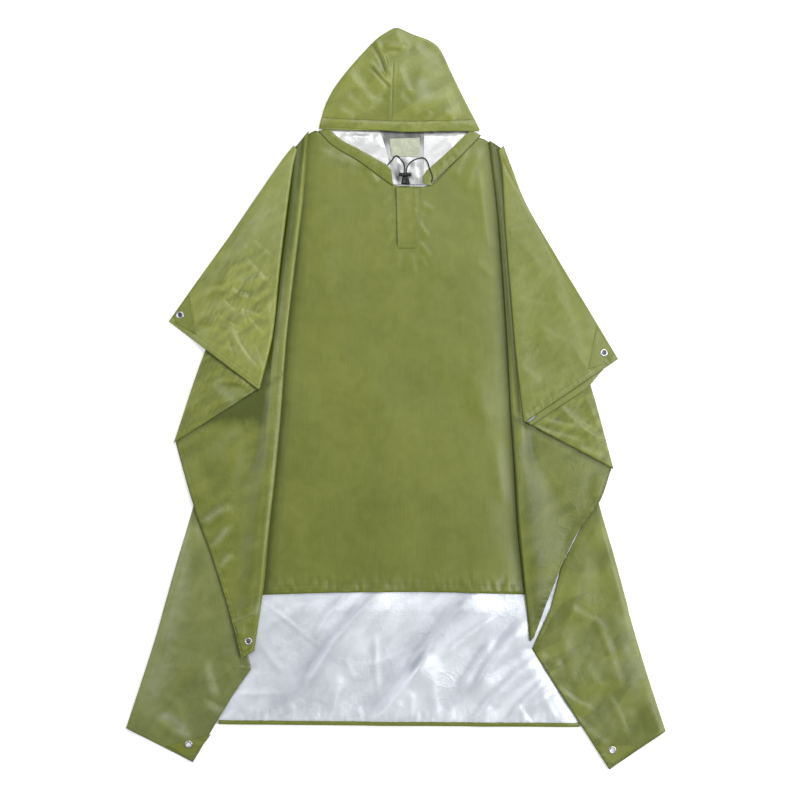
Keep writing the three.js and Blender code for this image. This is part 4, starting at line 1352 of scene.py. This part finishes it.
def frontSide(side, t):  # from the outer edge of the pleat, round its fold and its turn to the middle
    edge, fold, turn = (frontLines[side][name].at(t) for name in ("edge", "fold", "turn"))
    outFold, outTurn = unit(edge, fold), unit(fold, turn)
    reach, turnReach = frontParts["reach"], frontParts["turnReach"]
    pleat, start = shifted(fold, outFold, -reach), shifted(turn, outTurn, -turnReach)
    path = (stretch(stripHeight, edge, pleat, frontParts["strip"])
            + layerBend(pleat, outFold, reach, stripHeight, returnHeight, frontParts["bend"])
            + stretch(returnHeight, pleat, start, frontParts["return"])
            + layerBend(start, outTurn, turnReach, returnHeight, frontBed, frontParts["turn"]))
    return path, turn, start


def frontPanel():
    hemLeft, hemRight = frontHem["ends"]
    top, bottom = neckPoints[0][1], hemLeft[1]
    rows = []
    for t in spread(frontParts["rows"], frontParts["dense"]):
        path, turn, start = frontSide("left", t)
        farPath, _, finish = frontSide("right", t)
        down = clamp((top - turn[1]) / (top - bottom))
        first, last = mixPoint(neckTop(0), hemLeft, down), mixPoint(neckTop(1), hemRight, down)
        for i in range(frontParts["middle"] + 1):
            across = i / frontParts["middle"]
            lowX, lowY = mixPoint(hemLeft, hemRight, across)
            x, y = mixPoint(neckTop(across), (lowX, lowY + hemRise(across)), down)
            x += mix(start[0] - first[0], finish[0] - last[0], across)
            y += mix(start[1] - first[1], finish[1] - last[1], across)
            path.append((x, y, frontHeight(x, y)))
        rows.append(path + farPath[::-1])
    return clothSheet("front_shell", rows, (100, 110), ["front_panel"], tone=frontToneAndShade,
                      crush=frontCrush, pale=frontSheen, holes=[eyeletPlaces["front_left"]])


# Sleeves: cloth doubled and folded twice over the pleat
sleeve = {
    "under": 30,                          # how far the cloth goes on under the pleat
    "tuckReach": 3.0, "edgeReach": 2.2, "innerReach": 1.2, "foldReach": (1.5, 5.5),
    "rows": 160, "tail": 3, "mid": 50, "back": 40, "top": 84, "end": 20, "bend": 7,
    "slip": {"left": 0, "right": 13}, "crush": {"left": 0.75, "right": 0.4},
}
hemTurn = {"rows": 60, "steps": 8, "from": 0.03, "to": 0.84, "rise": 0.1, "past": 1.6}


def slipped(side, along):  # how far the far layer of a sleeve has slipped out below the near one
    return sleeve["slip"][side] * ramp(along, 0, 0.05) * ramp(along, 0.86, 0.6)


def sleeveHem(side):
    inner, cuff = (wingLines[side][name].points[-1] for name in ("fold", "edge"))
    way = unit(inner, cuff)
    return inner, cuff, (way[1], -way[0])


def sleeveShell(side):
    down = sleeveHem(side)[2]
    under, midFront = plainLayer("wingUnder"), plainLayer("midFront")
    rows = []
    for t in spread(sleeve["rows"]):
        edge, fold, tuck = (wingLines[side][name].at(t) for name in ("edge", "fold", "tuck"))
        outTuck, outEdge = unit(fold, tuck), unit(fold, edge)
        outFold = unit((0, 0), [p + q for p, q in zip(unit(tuck, fold), unit(edge, fold))])
        tuckMiddle = shifted(tuck, outTuck, -sleeve["tuckReach"])
        edgeMiddle = shifted(edge, outEdge, -sleeve["edgeReach"])
        near = shifted(fold, outFold, -4)
        reach = clamp((sleeveFrontHeight(*near) - midFront(*near)) / 2, *sleeve["foldReach"])
        middle = shifted(fold, outFold, -reach)
        tail = min(sleeve["under"], 0.4 * math.dist(tuck, fold))
        back = []
        for k, (x, y, z) in enumerate(stretch(sleeveBackHeight, middle, edgeMiddle, sleeve["back"])):
            out = slipped(side, k / sleeve["back"]) * ramp(t, 0.92, 1)
            back.append((*shifted((x, y), down, out), z))
        rows.append(
            stretch(under, shifted(tuckMiddle, outTuck, -tail), tuckMiddle, sleeve["tail"])
            + layerBend(tuckMiddle, outTuck, sleeve["tuckReach"], under, midBackHeight, sleeve["bend"])
            + stretch(midBackHeight, tuckMiddle, middle, sleeve["mid"])
            + layerBend(middle, outFold, sleeve["innerReach"], midBackHeight, sleeveBackHeight, 4)
            + back
            + layerBend(edgeMiddle, outEdge, sleeve["edgeReach"], sleeveBackHeight, sleeveFrontHeight,
                        sleeve["bend"])
            + stretch(sleeveFrontHeight, edgeMiddle, middle, sleeve["top"])
            + layerBend(middle, outFold, reach, sleeveFrontHeight, midFront, sleeve["bend"] + 1)
            + stretch(midFront, middle, shifted(tuckMiddle, outTuck, -1.5), sleeve["end"]))
    cuff = eyeletPlaces["cuff_" + side]
    between = (sleeveBackHeight(*cuff) + sleeveFrontHeight(*cuff)) / 2  # only the layer on top is cut
    return clothSheet(side + "_sleeve_shell", rows, (80, sleeveTopColumn + 46), [side + "_sleeve"],
                      tone=sleeveToneAndShade, crush=crushed(sleeve["crush"][side]), pale=sleeveSheenAndShade,
                      holes=[(*cuff, between)])


def sleeveHemTurn(side):  # hem of the layer that has slipped out, turned up over its inside
    inner, cuff, down = sleeveHem(side)
    rows = []
    for t in spread(hemTurn["rows"]):
        along = mix(hemTurn["from"], hemTurn["to"], t)
        start = mixPoint(inner, cuff, along)
        z = sleeveBackHeight(*shifted(start, down, -2)) + cloth["thickness"] + hemTurn["rise"]
        bare = 8 * ramp(along, 0.16, 0.09) - 2  # more of its inside shows near the inner fold
        top = shifted(start, down, bare)
        bottom = shifted(start, down, slipped(side, along) + hemTurn["past"])
        rows.append(stretch(lambda x, y: z, top, bottom, hemTurn["steps"]))
    return clothSheet(side + "_sleeve_hem_turn", rows, (30, 4), (), tone=seamTone(0.05, -0.2, 3))


# Hood: two halves joined by a seam over the crown, with a casing round its mouth
hood = {"rows": 66, "reach": 4.0, "top": 66, "bend": 9, "back": 16}


def hoodHalf(side):
    outline, mouth = (Line(points) for points in zip(*hoodRows[side]))
    backLayer = plainLayer("hoodBack")
    rows = []
    for t in spread(hood["rows"]):
        start, end = mouth.at(t), outline.at(t)
        out = unit(start, end)
        centre = shifted(end, out, -hood["reach"])
        rows.append(stretch(hoodTopHeight, start, centre, hood["top"])
                    + layerBend(centre, out, hood["reach"], hoodTopHeight, backLayer, hood["bend"])
                    + stretch(backLayer, centre, start, hood["back"]))
    return clothSheet("hood_" + side + "_shell", rows, (33, 30), ["hood_" + side], tone=hoodToneAndShade,
                      crush=crushed(0.7), pale=hoodSheen, crisp=True)


def casing(look, top, edge, out, height, seed):  # a plump strip of cloth with its edge turned under
    path = []
    for j in range(look["steps"] + 1):
        v = j / look["steps"]
        x, y = mixPoint(top, edge, v)
        bulge = look["plump"] * math.sin(math.pi * mix(0.08, 0.86, v))
        bulge *= 0.85 + 0.4 * wave(x, y, 13, seed) + 0.2 * wave(x, y, 6, seed + 1)
        path.append((x, y, height(x, y) + bulge))
    z = path[-1][2]
    path += bend(edge, out, look["reach"], z, z - look["deep"], 5)
    for j in range(4):
        path.append((*shifted(edge, out, -look["under"] * j / 3), z - look["deep"] + look["lift"] * j))
    return path


brim = {"rows": 170, "steps": 12, "rise": 0.55, "plump": 1.3, "reach": 1.6, "deep": 3.0, "under": 7,
        "lift": 0.3}


def brimBed(x, y):
    return hoodTopHeight(x, max(y, 566))


def hoodBrim():
    edgeLine, stitchLine = Line(brimEdge), Line(brimStitches)
    rows = []

    def height(x, y):
        return brimBed(x, y) + brim["rise"] * mix(0.25, 1.0, ramp(edgeAt(brimStitches, x) - y, 0, 6))

    for t in spread(brim["rows"]):
        edge, top = edgeLine.at(t), stitchLine.at(t)
        out = unit(top, edge)
        edge = shifted(edge, out, 0.6 * wave(edge[0], 0, 18, 85) - brim["reach"])
        rows.append(casing(brim, top, edge, out, height, 87))
    return clothSheet("hood_brim_casing", rows, (75, 6), ["hood_brim"], tone=brimToneAndShade,
                      crush=crushed(0.7), crisp=True)


# Inside of the hood, seen through its mouth
lining = {"rows": 56, "steps": 64, "faceUp": (28, 32)}
innerRows = {
    "hood_neck": [((-130, 594), (147, 594)), ((-138, 566), (153, 563)), ((-97, 523), (137, 523)),
                  ((-53, 491), (107, 491)), ((-3, 449), (64, 449))],
    "hood_inner_left": [((-142, 580), (-34, 580)), ((-137, 562), (-33, 562)), ((-118, 545), (-28, 545)),
                        ((-82, 524), (-21, 524)), ((-46, 503), (-16, 503)), ((-20, 485), (-11, 485))],
    "hood_inner_right": [((57, 580), (150, 580)), ((57, 562), (148, 562)), ((58, 545), (139, 545)),
                         ((58, 523), (118, 523)), ((58, 500), (97, 500)), ((58, 470), (69, 470))],
}
innerCreases = {
    "hood_neck": [
        (-26, 545, -6, 470, 4, 2.0, 2, 0.2), (2, 505, 12, 462, 4, 2.0, 1, 0.2),
        (26, 505, 18, 465, 4, 2.2, -1, 0.2), (40, 500, 46, 465, 5, 2.2, 1, 0.2),
        (-14, 505, 24, 488, 4, 1.8, 3, 0.2), (10, 500, 44, 512, 4, 1.4, 2, 0.2),
    ],
    "hood_inner_left": [
        (-110, 552, -70, 520, 7, 2.0, 4, 0.2), (-92, 556, -50, 525, 6, 2.0, -3, 0.2),
        (-62, 556, -44, 512, 6, 2.2, 3, 0.2), (-40, 550, -26, 500, 5, 2.4, 2, 0.3),
        (-80, 535, -40, 516, 5, 1.6, 2, 0.2),
    ],
    "hood_inner_right": [
        (66, 556, 64, 495, 4, 2.6, 1, 0.3), (76, 556, 72, 498, 5, 2.2, 2, 0.2),
        (92, 554, 82, 502, 5, 2.0, 2, 0.2), (110, 552, 94, 508, 6, 1.8, 3, 0.2),
        (128, 554, 112, 526, 5, 1.4, 2, 0.2),
    ],
}


def innerPiece(name, seed):
    left, right = (Line(points, corners=range(6)) for points in zip(*innerRows[name]))
    isNeck = name == "hood_neck"
    layer = "hoodNeck" if isNeck else "hoodInner"

    def height(x, y):
        detail = 0.9 + 0.8 * wave(x, y, 34, seed) + 0.9 * crumple(x, y, 24, seed + 1)
        detail += creaseHeight(innerCreases[name], x, y)
        if isNeck:
            limit = 1.4 + 2.4 * ramp(y, 508, 496) * ramp(abs(x - 24), 32, 20)
        else:  # flat below the cord, raised above it
            limit = mix(0.7, 4.4, ramp(y, 507, 543))
            detail += 1.4
        return layerHeight(layer, 0, y) + ramp(y, 562, 548) * clamp(detail, 0, limit)

    rows = [stretch(height, left.at(t), right.at(t), lining["steps"]) for t in spread(lining["rows"])]
    return clothSheet(name + "_lining", rows, lining["faceUp"], [name], "cloth_silver", ("lining", "outside"),
                      tone=neckToneAndShade if isNeck else sideLiningToneAndShade, crush=crushed(0.6),
                      pale=neckShade if isNeck else sideLiningShadow)


patchCorners = [(-14, 546), (50, 548), (50, 508), (-10, 509)]  # plain patch inside the hood


def cornerSheet(name, corners, height, steps, nodes, **looks):
    a, b, c, d = corners
    rows = [stretch(height, mixPoint(a, d, i / steps), mixPoint(b, c, i / steps), steps)
            for i in range(steps + 1)]
    return clothSheet(name, rows, (steps // 2, steps // 2), nodes, **looks)


def plainPatch():
    def height(x, y):
        detail = 0.5 + 1.4 * crumple(x, y, 11, 91) + wave(x, y, 18, 93)
        return layerHeight("hoodInner", 0, y) + clamp(detail, 0, 2.4)
    return cornerSheet("plain_patch", patchCorners, height, 40, ["blank_patch"], slotName="cloth_pale",
                       cloths=("pale", "pale"))


# Casings along the V of the neck, and the lap over its slit
bandRows = {  # inner edge, outer edge
    "left": [((-140, 569), (-163, 562)), ((-122, 549), (-131, 530)), ((-76, 523), (-78, 498)),
             ((-25, 494), (-36, 467)), ((-10, 481), (-6, 446))],
    "right": [((156, 564), (179, 553)), ((112, 521), (138, 511)), ((82, 494), (110, 485)),
              ((66, 480), (92, 467)), ((57, 466), (80, 455)), ((57, 452), (77, 447))],
}
band = {"rows": 110, "steps": 14, "rise": 0.9, "plump": 1.8, "reach": 1.4, "deep": 2.2, "under": 7.5,
        "lift": 0.0, "inner": 6.2, "seed": {"left": 95, "right": 99}}


def neckBand(side):
    innerLine, outerLine = (Line(points) for points in zip(*bandRows[side]))
    rows = []
    for t in spread(band["rows"]):
        outer, inner = outerLine.at(t), innerLine.at(t)
        out = unit(outer, inner)
        inner = shifted(inner, out, -band["reach"])

        def height(x, y):
            across = clamp(math.dist((x, y), outer) / math.dist(outer, inner))
            return max(mix(frontHeight(*outer), band["inner"], across), frontHeight(x, y)) + band["rise"]

        rows.append(casing(band, outer, inner, out, height, band["seed"][side]))
    return clothSheet("neck_casing_" + side, rows, (55, 7), ["neck_band_" + side],
                      tone=seamTone(0.08, -0.3, 2), crush=crushed(0.8))


placketCorners = [(0.5, 443), (52, 443), (41, 316), (4, 316)]


def placketHeight(x, y):
    return frontHeight(x, y) + 1.0 + 0.5 * crumple(x, y, 13, 101)


def placket():
    return cornerSheet("placket_lap", placketCorners, placketHeight, 44, ["placket"],
                       tone=evenTone(20, 161, 0.08, 0.12))


# Corner patches and their eyelets
patches = {
    "cuff_left": [(-433, 222), (-467, 174), (-462, 158), (-418, 134)],
    "cuff_right": [(421, 153), (457, 96), (452, 78), (402, 62)],
    "front_left": [(-338, -470), (-288, -446), (-301, -518), (-321, -534)],
    "back_left": [(-483, -727), (-388, -703), (-421, -748), (-437, -752)],
    "back_right": [(416, -727), (512, -727), (455, -766), (440, -762)],
}
patchBase = {
    "cuff_left": sleeveFrontHeight, "cuff_right": sleeveFrontHeight, "front_left": stripHeight,
    "back_left": foldOverHeight, "back_right": foldOverHeight,
}


def patchHeight(name, x, y):
    return patchBase[name](x, y) + 0.75


def cornerPatch(name):
    return cornerSheet("patch_" + name + "_cloth", patches[name], lambda x, y: patchHeight(name, x, y),
                       26, ["patch_" + name], holes=[eyeletPlaces[name]],
                       tone=evenTone(20, 163, 0.05, 0.1))


def eyeletRing(name):
    x, y = eyeletPlaces[name]
    top = max(patchHeight(name, x + dx, y + dy) for dx in (-7, 0, 7) for dy in (-7, 0, 7)) - 0.1
    low = cloth["lowest"] - 0.2
    if name.startswith("cuff"):
        low = sleeveBackHeight(x, y) + cloth["thickness"] / 2 + 0.3
    elif name.startswith("front"):
        low = top - 4
    outer, bore, barrel = eyelet["outer"], eyelet["bore"], eyelet["barrel"]
    rim = top + eyelet["rise"]
    profile = [(bore, low), (bore, rim)]
    for i in range(9):  # the rolled flange, from the bore over to its outer edge
        a = math.pi * (1 - i / 8)
        r = (outer + bore) / 2 + (outer - bore) / 2 * math.cos(a)
        profile.append((r, rim + eyelet["flange"] * math.sin(a)))
    profile += [(outer, top), (barrel, top), (barrel, low)]
    bm = bmesh.new()
    ring = [bm.verts.new(Vector((x + r, y, z)) * mm) for r, z in profile]
    edges = [bm.edges.new((a, b)) for a, b in zip(ring, ring[1:] + ring[:1])]
    bmesh.ops.spin(bm, geom=ring + edges, cent=(x * mm, y * mm, 0), axis=(0, 0, 1),
                   angle=2 * math.pi, steps=40, use_merge=True)
    bmesh.ops.recalc_face_normals(bm, faces=bm.faces[:])
    return finishPiece(bm, "eyelet_" + name + "_ring", "eyelet_metal", ["nickel"], ["eyelet_" + name])


# Draw cord and its lock
cordSettings = {"radius": 1.25, "sides": 14, "stepsPerPoint": 8}
cordRoutes = {
    "left": [
        (-18.2, 490.2, 6.4), (-15.5, 493, 6.3), (-12, 496.5, 6.3), (-8.5, 500.5, 6.3), (-6, 504.5, 6.3),
        (-3, 508, 6.3), (1, 509.8, 6.3), (5, 508.2, 6.3), (8.5, 505, 6.3), (11.8, 501, 6.3),
        (14.5, 497, 6.4), (16.3, 493, 6.6), (17.6, 488.5, 7), (18.2, 484, 7.5), (18.3, 479.5, 7.9),
        (18.2, 474.4, 8),
    ],
    "right": [
        (74.6, 454.5, 7.9), (76, 460, 7.9), (76, 466.5, 7.9), (74.2, 473, 7.9), (71.6, 479, 7.9),
        (69.8, 485, 7.6), (68.3, 491, 7.1), (66, 497, 6.8), (62.5, 502, 6.6), (58, 505.3, 6.5),
        (53, 505.8, 6.4), (46, 504.3, 6.3), (39.5, 502, 6.3), (34, 499, 6.3), (29, 494.5, 6.3),
        (25.5, 490, 6.6), (23, 485, 7.2), (22, 480, 7.8), (21.9, 474.4, 8),
    ],
}


def drawCord(side):
    points, parts = cordRoutes[side], cordSettings["stepsPerPoint"]
    radius, around = cordSettings["radius"], cordSettings["sides"]
    route = [Vector(curve(points, i, k / parts)) for i in range(len(points) - 1) for k in range(parts)]
    route.append(Vector(points[-1]))
    rows = [[] for _ in range(around + 1)]
    for i, middle in enumerate(route):
        ahead = (route[min(i + 1, len(route) - 1)] - route[max(i - 1, 0)]).normalized()
        across = ahead.cross(Vector((0, 0, 1))).normalized()
        up = across.cross(ahead)
        for j, row in enumerate(rows):
            a = 2 * math.pi * j / around
            row.append(middle + across * radius * math.cos(a) + up * radius * math.sin(a))
    lengths = lengthsAlong(route)
    girth = 2 * math.pi * radius * mm
    bm, _ = gridMesh(rows, lengths, [girth * j / around for j in range(around + 1)])
    bmesh.ops.remove_doubles(bm, verts=bm.verts[:], dist=1e-6)
    bmesh.ops.holes_fill(bm, edges=[e for e in bm.edges if e.is_boundary], sides=around)
    bmesh.ops.recalc_face_normals(bm, faces=bm.faces[:])
    strand = finishPiece(bm, "drawcord_" + side + "_strand", "cord_black", ["braid"], ["drawcord_" + side])
    return strand, [tuple(Vector(p) * mm) for p in points], lengths[-1]


lock = {
    "bar": {"low": (6.3, 466.6, 3.4), "high": (32.3, 474, 12.6), "round": 2.4, "waist": 1.0},
    "body": {"low": (10.5, 449.4, 3.4), "high": (29.4, 466.2, 13.2), "round": 3.2, "waist": 0.66},
}


def lockPiece(name):
    part = lock[name]
    low, high = Vector(part["low"]) * mm, Vector(part["high"]) * mm
    middle = (low + high) / 2
    bm = bmesh.new()
    corners = bmesh.ops.create_cube(bm, size=1)["verts"]
    bmesh.ops.scale(bm, vec=high - low, verts=corners)
    bmesh.ops.translate(bm, vec=middle, verts=corners)
    for vertex in corners:
        if vertex.co.y > middle.y:
            vertex.co.x = mix(middle.x, vertex.co.x, part["waist"])
    bmesh.ops.bevel(bm, geom=bm.edges[:], offset=part["round"] * mm, offset_type="OFFSET", segments=4,
                    profile=0.5, affect="EDGES", material=-1)
    top = [f for f in bm.faces if f.normal.z > 0.99]
    for depth in (-0.5, -0.35):  # a sunk panel on the face that shows
        bmesh.ops.inset_region(bm, faces=top, thickness=1.1 * mm, depth=depth * mm, use_even_offset=True)
        top = [f for f in top if f.is_valid]
    return finishPiece(bm, "cord_lock_" + name + "_moulding", "lock_plastic", ["plastic"],
                       ["cord_lock_" + name])


# Stitching, one joined piece
stitch = {"length": 2.6, "gap": 1.3, "width": 0.42, "proud": 0.32}


def stitchPlaces(points, offset=0.0):  # of every stitch along a line, with its direction
    step = stitch["length"] + stitch["gap"]
    left = step / 2
    for a, b in zip(points, points[1:]):
        length = math.dist(a, b)
        way = unit(a, b)
        while left < length:
            yield shifted(shifted(a, way, left), (-way[1], way[0]), offset), way
            left += step
        left -= length


def sewRow(bm, points, height, offset=0.0):
    for (x, y), way in stitchPlaces(points, offset):
        z = height(x, y) + cloth["thickness"] / 2 + stitch["proud"] / 2
        rise = height(*shifted((x, y), way, 1)) - height(*shifted((x, y), way, -1))
        ahead = Vector((*way, rise / 2)).normalized()
        across = Vector((-way[1], way[0], 0))
        axes = (ahead * stitch["length"] / 2, across * stitch["width"],
                ahead.cross(across) * stitch["proud"], Vector((x, y, z)))
        matrix = Matrix([(axis * mm).to_4d() for axis in axes]).transposed()
        matrix[3] = (0, 0, 0, 1)
        bmesh.ops.create_icosphere(bm, subdivisions=1, radius=1, matrix=matrix)


def between(a, b, count=24):
    return [mixPoint(a, b, i / count) for i in range(count + 1)]


def sampled(line, start=0.0, count=80):
    return [line.at(mix(start, 1, i / count)) for i in range(count + 1)]


def hemEnds(lines, inner, outer):
    return lines[inner].points[-1], lines[outer].points[-1]


def sewing():
    bm = bmesh.new()
    for inset in (7, 17):  # front hem, two rows
        row = between(*frontHem["ends"], 120)
        row = [(x, y + hemRise(i / 120) + inset) for i, (x, y) in enumerate(row)]
        sewRow(bm, row, frontHeight)
    for side, out in zip(sides, (-1, 1)):
        for inset in (5, 12):  # hems down the free side of the pleats
            edge = sampled(frontLines[side]["edge"], 0.5)
            sewRow(bm, [shifted(p, (-out, 0), inset) for p in edge], stripHeight)
        for inset in (4, 11):  # and of the folded-over sides
            edge = sampled(backLines[side]["edge"], 0.75)
            sewRow(bm, [shifted(p, (out, 0), inset) for p in edge], foldOverHeight)
        for inset in (5, 12):  # the bottom of those sides, and the sleeves
            sewRow(bm, between(*hemEnds(backLines[side], "fold", "edge")), foldOverHeight, -inset * out)
            sewRow(bm, between(*hemEnds(wingLines[side], "fold", "edge")), sleeveFrontHeight, inset * out)
    sewRow(bm, sampled(Line(brimStitches)), lambda x, y: brimBed(x, y) + brim["rise"] + 0.3, 1.2)
    for start, end in (((49.5, 440), (38.5, 318)), ((6, 320), (38, 320)), ((6, 325), (38, 325))):
        sewRow(bm, between(start, end), placketHeight)  # lap of the neck slit
    for name, corners in patches.items():
        for a, b in zip(corners, corners[1:] + corners[:1]):
            ends = [mixPoint(p, eyeletPlaces[name], 0.12) for p in (a, b)]
            sewRow(bm, between(*ends, 8), lambda x, y: patchHeight(name, x, y))
    return finishPiece(bm, "stitching", "cloth_green", ["thread"])


# The whole poncho
back, hem = backPanel(), backHemBand()
print("back laid out")
front, lap = frontPanel(), placket()
print("front laid out")
sleeves = {side: sleeveShell(side) for side in sides}
turnedHem = sleeveHemTurn("right")
print("sleeves folded")
hoods = {side: hoodHalf(side) for side in sides}
brimPiece = hoodBrim()
neck = innerPiece("hood_neck", 111)
linings = [innerPiece("hood_inner_left", 117), innerPiece("hood_inner_right", 121)]
blank = plainPatch()
bands = {side: neckBand(side) for side in sides}
print("hood and neck made")
corners = {name: cornerPatch(name) for name in patches}
rings = {name: eyeletRing(name) for name in eyeletPlaces}
lockBody, lockBar = lockPiece("body"), lockPiece("bar")
strands = {side: drawCord(side) for side in sides}
sewing()
print("patches, eyelets, cord and stitching made")


def declareSheet(piece, held, restsOn=(), withPieces=()):
    width, length, area = sheetSizes[piece.name]
    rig.sheet(piece, flat=(width, length), held=held, rests_on=restsOn, area=area, with_pieces=withPieces)


declareSheet(back, "folded", (), [hem, corners["back_left"], corners["back_right"],
                                  rings["back_left"], rings["back_right"]])
declareSheet(front, "folded", [back], [lap, *bands.values(), corners["front_left"], rings["front_left"]])
for side, shell in sleeves.items():
    slippedHem = [turnedHem] if side == "right" else []
    declareSheet(shell, "folded", [front], [corners["cuff_" + side], rings["cuff_" + side], *slippedHem])
for shell, others in zip((*hoods.values(), neck, *linings), ([brimPiece], [], [blank], [], [])):
    declareSheet(shell, "laid", [], others)
for strand, route, length in strands.values():
    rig.cord(strand, exit=route[0], length=length, diameter=2 * cordSettings["radius"] * mm,
            far_end="fitting", stiffness="limp", lay="loose", path=route, with_pieces=[lockBody, lockBar])


# Floor, lights and camera
lights = {
    "world": 0.27,
    "boxes": {  # place, target, width and height, power
        "key": ((0.9, 1.9, 2.9), (0, 0.3, 0), (2.4, 1.4), 58),
        "left": ((-2.3, 0.1, 2.2), (-0.2, 0, 0), (0.9, 2.6), 18),
        "right": ((2.1, -0.3, 2.5), (0.2, -0.2, 0), (1.1, 2.8), 48),
    },
}


def studio():
    bm = bmesh.new()
    bmesh.ops.create_grid(bm, x_segments=1, y_segments=1, size=9)
    bmesh.ops.translate(bm, vec=(0, 0, -0.0006), verts=bm.verts[:])
    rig.stage(meshPiece(bm, "floor", ["floor"]))
    world = bpy.data.worlds.new("studio")
    world.use_nodes = True
    sky = world.node_tree.nodes["Background"].inputs
    sky["Color"].default_value = (1, 1, 1, 1)
    sky["Strength"].default_value = lights["world"]
    for name, (place, target, size, power) in lights["boxes"].items():
        lamp = bpy.data.lights.new(name, "AREA")
        lamp.shape = "RECTANGLE"
        lamp.size, lamp.size_y = size
        lamp.energy = power
        box = added(name, lamp)
        box.location = place
        box.rotation_euler = (Vector(target) - Vector(place)).to_track_quat("-Z", "Y").to_euler()
    scene = bpy.context.scene
    scene.world = world
    scene.view_settings.view_transform = "Standard"
    scene.view_settings.look = "None"


studio()

view = {"middle": (0.0084, -0.0021), "width": 1.68, "lens": 85, "sensor": 36}
camera = bpy.data.cameras.new("camera")
camera.lens = view["lens"]
camera.sensor_width = view["sensor"]
cameraPiece = added("camera", camera)
cameraPiece.location = (*view["middle"], view["width"] * view["lens"] / view["sensor"])
bpy.context.scene.camera = cameraPiece

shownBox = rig.bounds()
with open("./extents.json", "w") as sizeFile:
    json.dump({"cad": [list(corner) for corner in cadBox],
               "visual": [list(corner) for corner in shownBox]}, sizeFile)
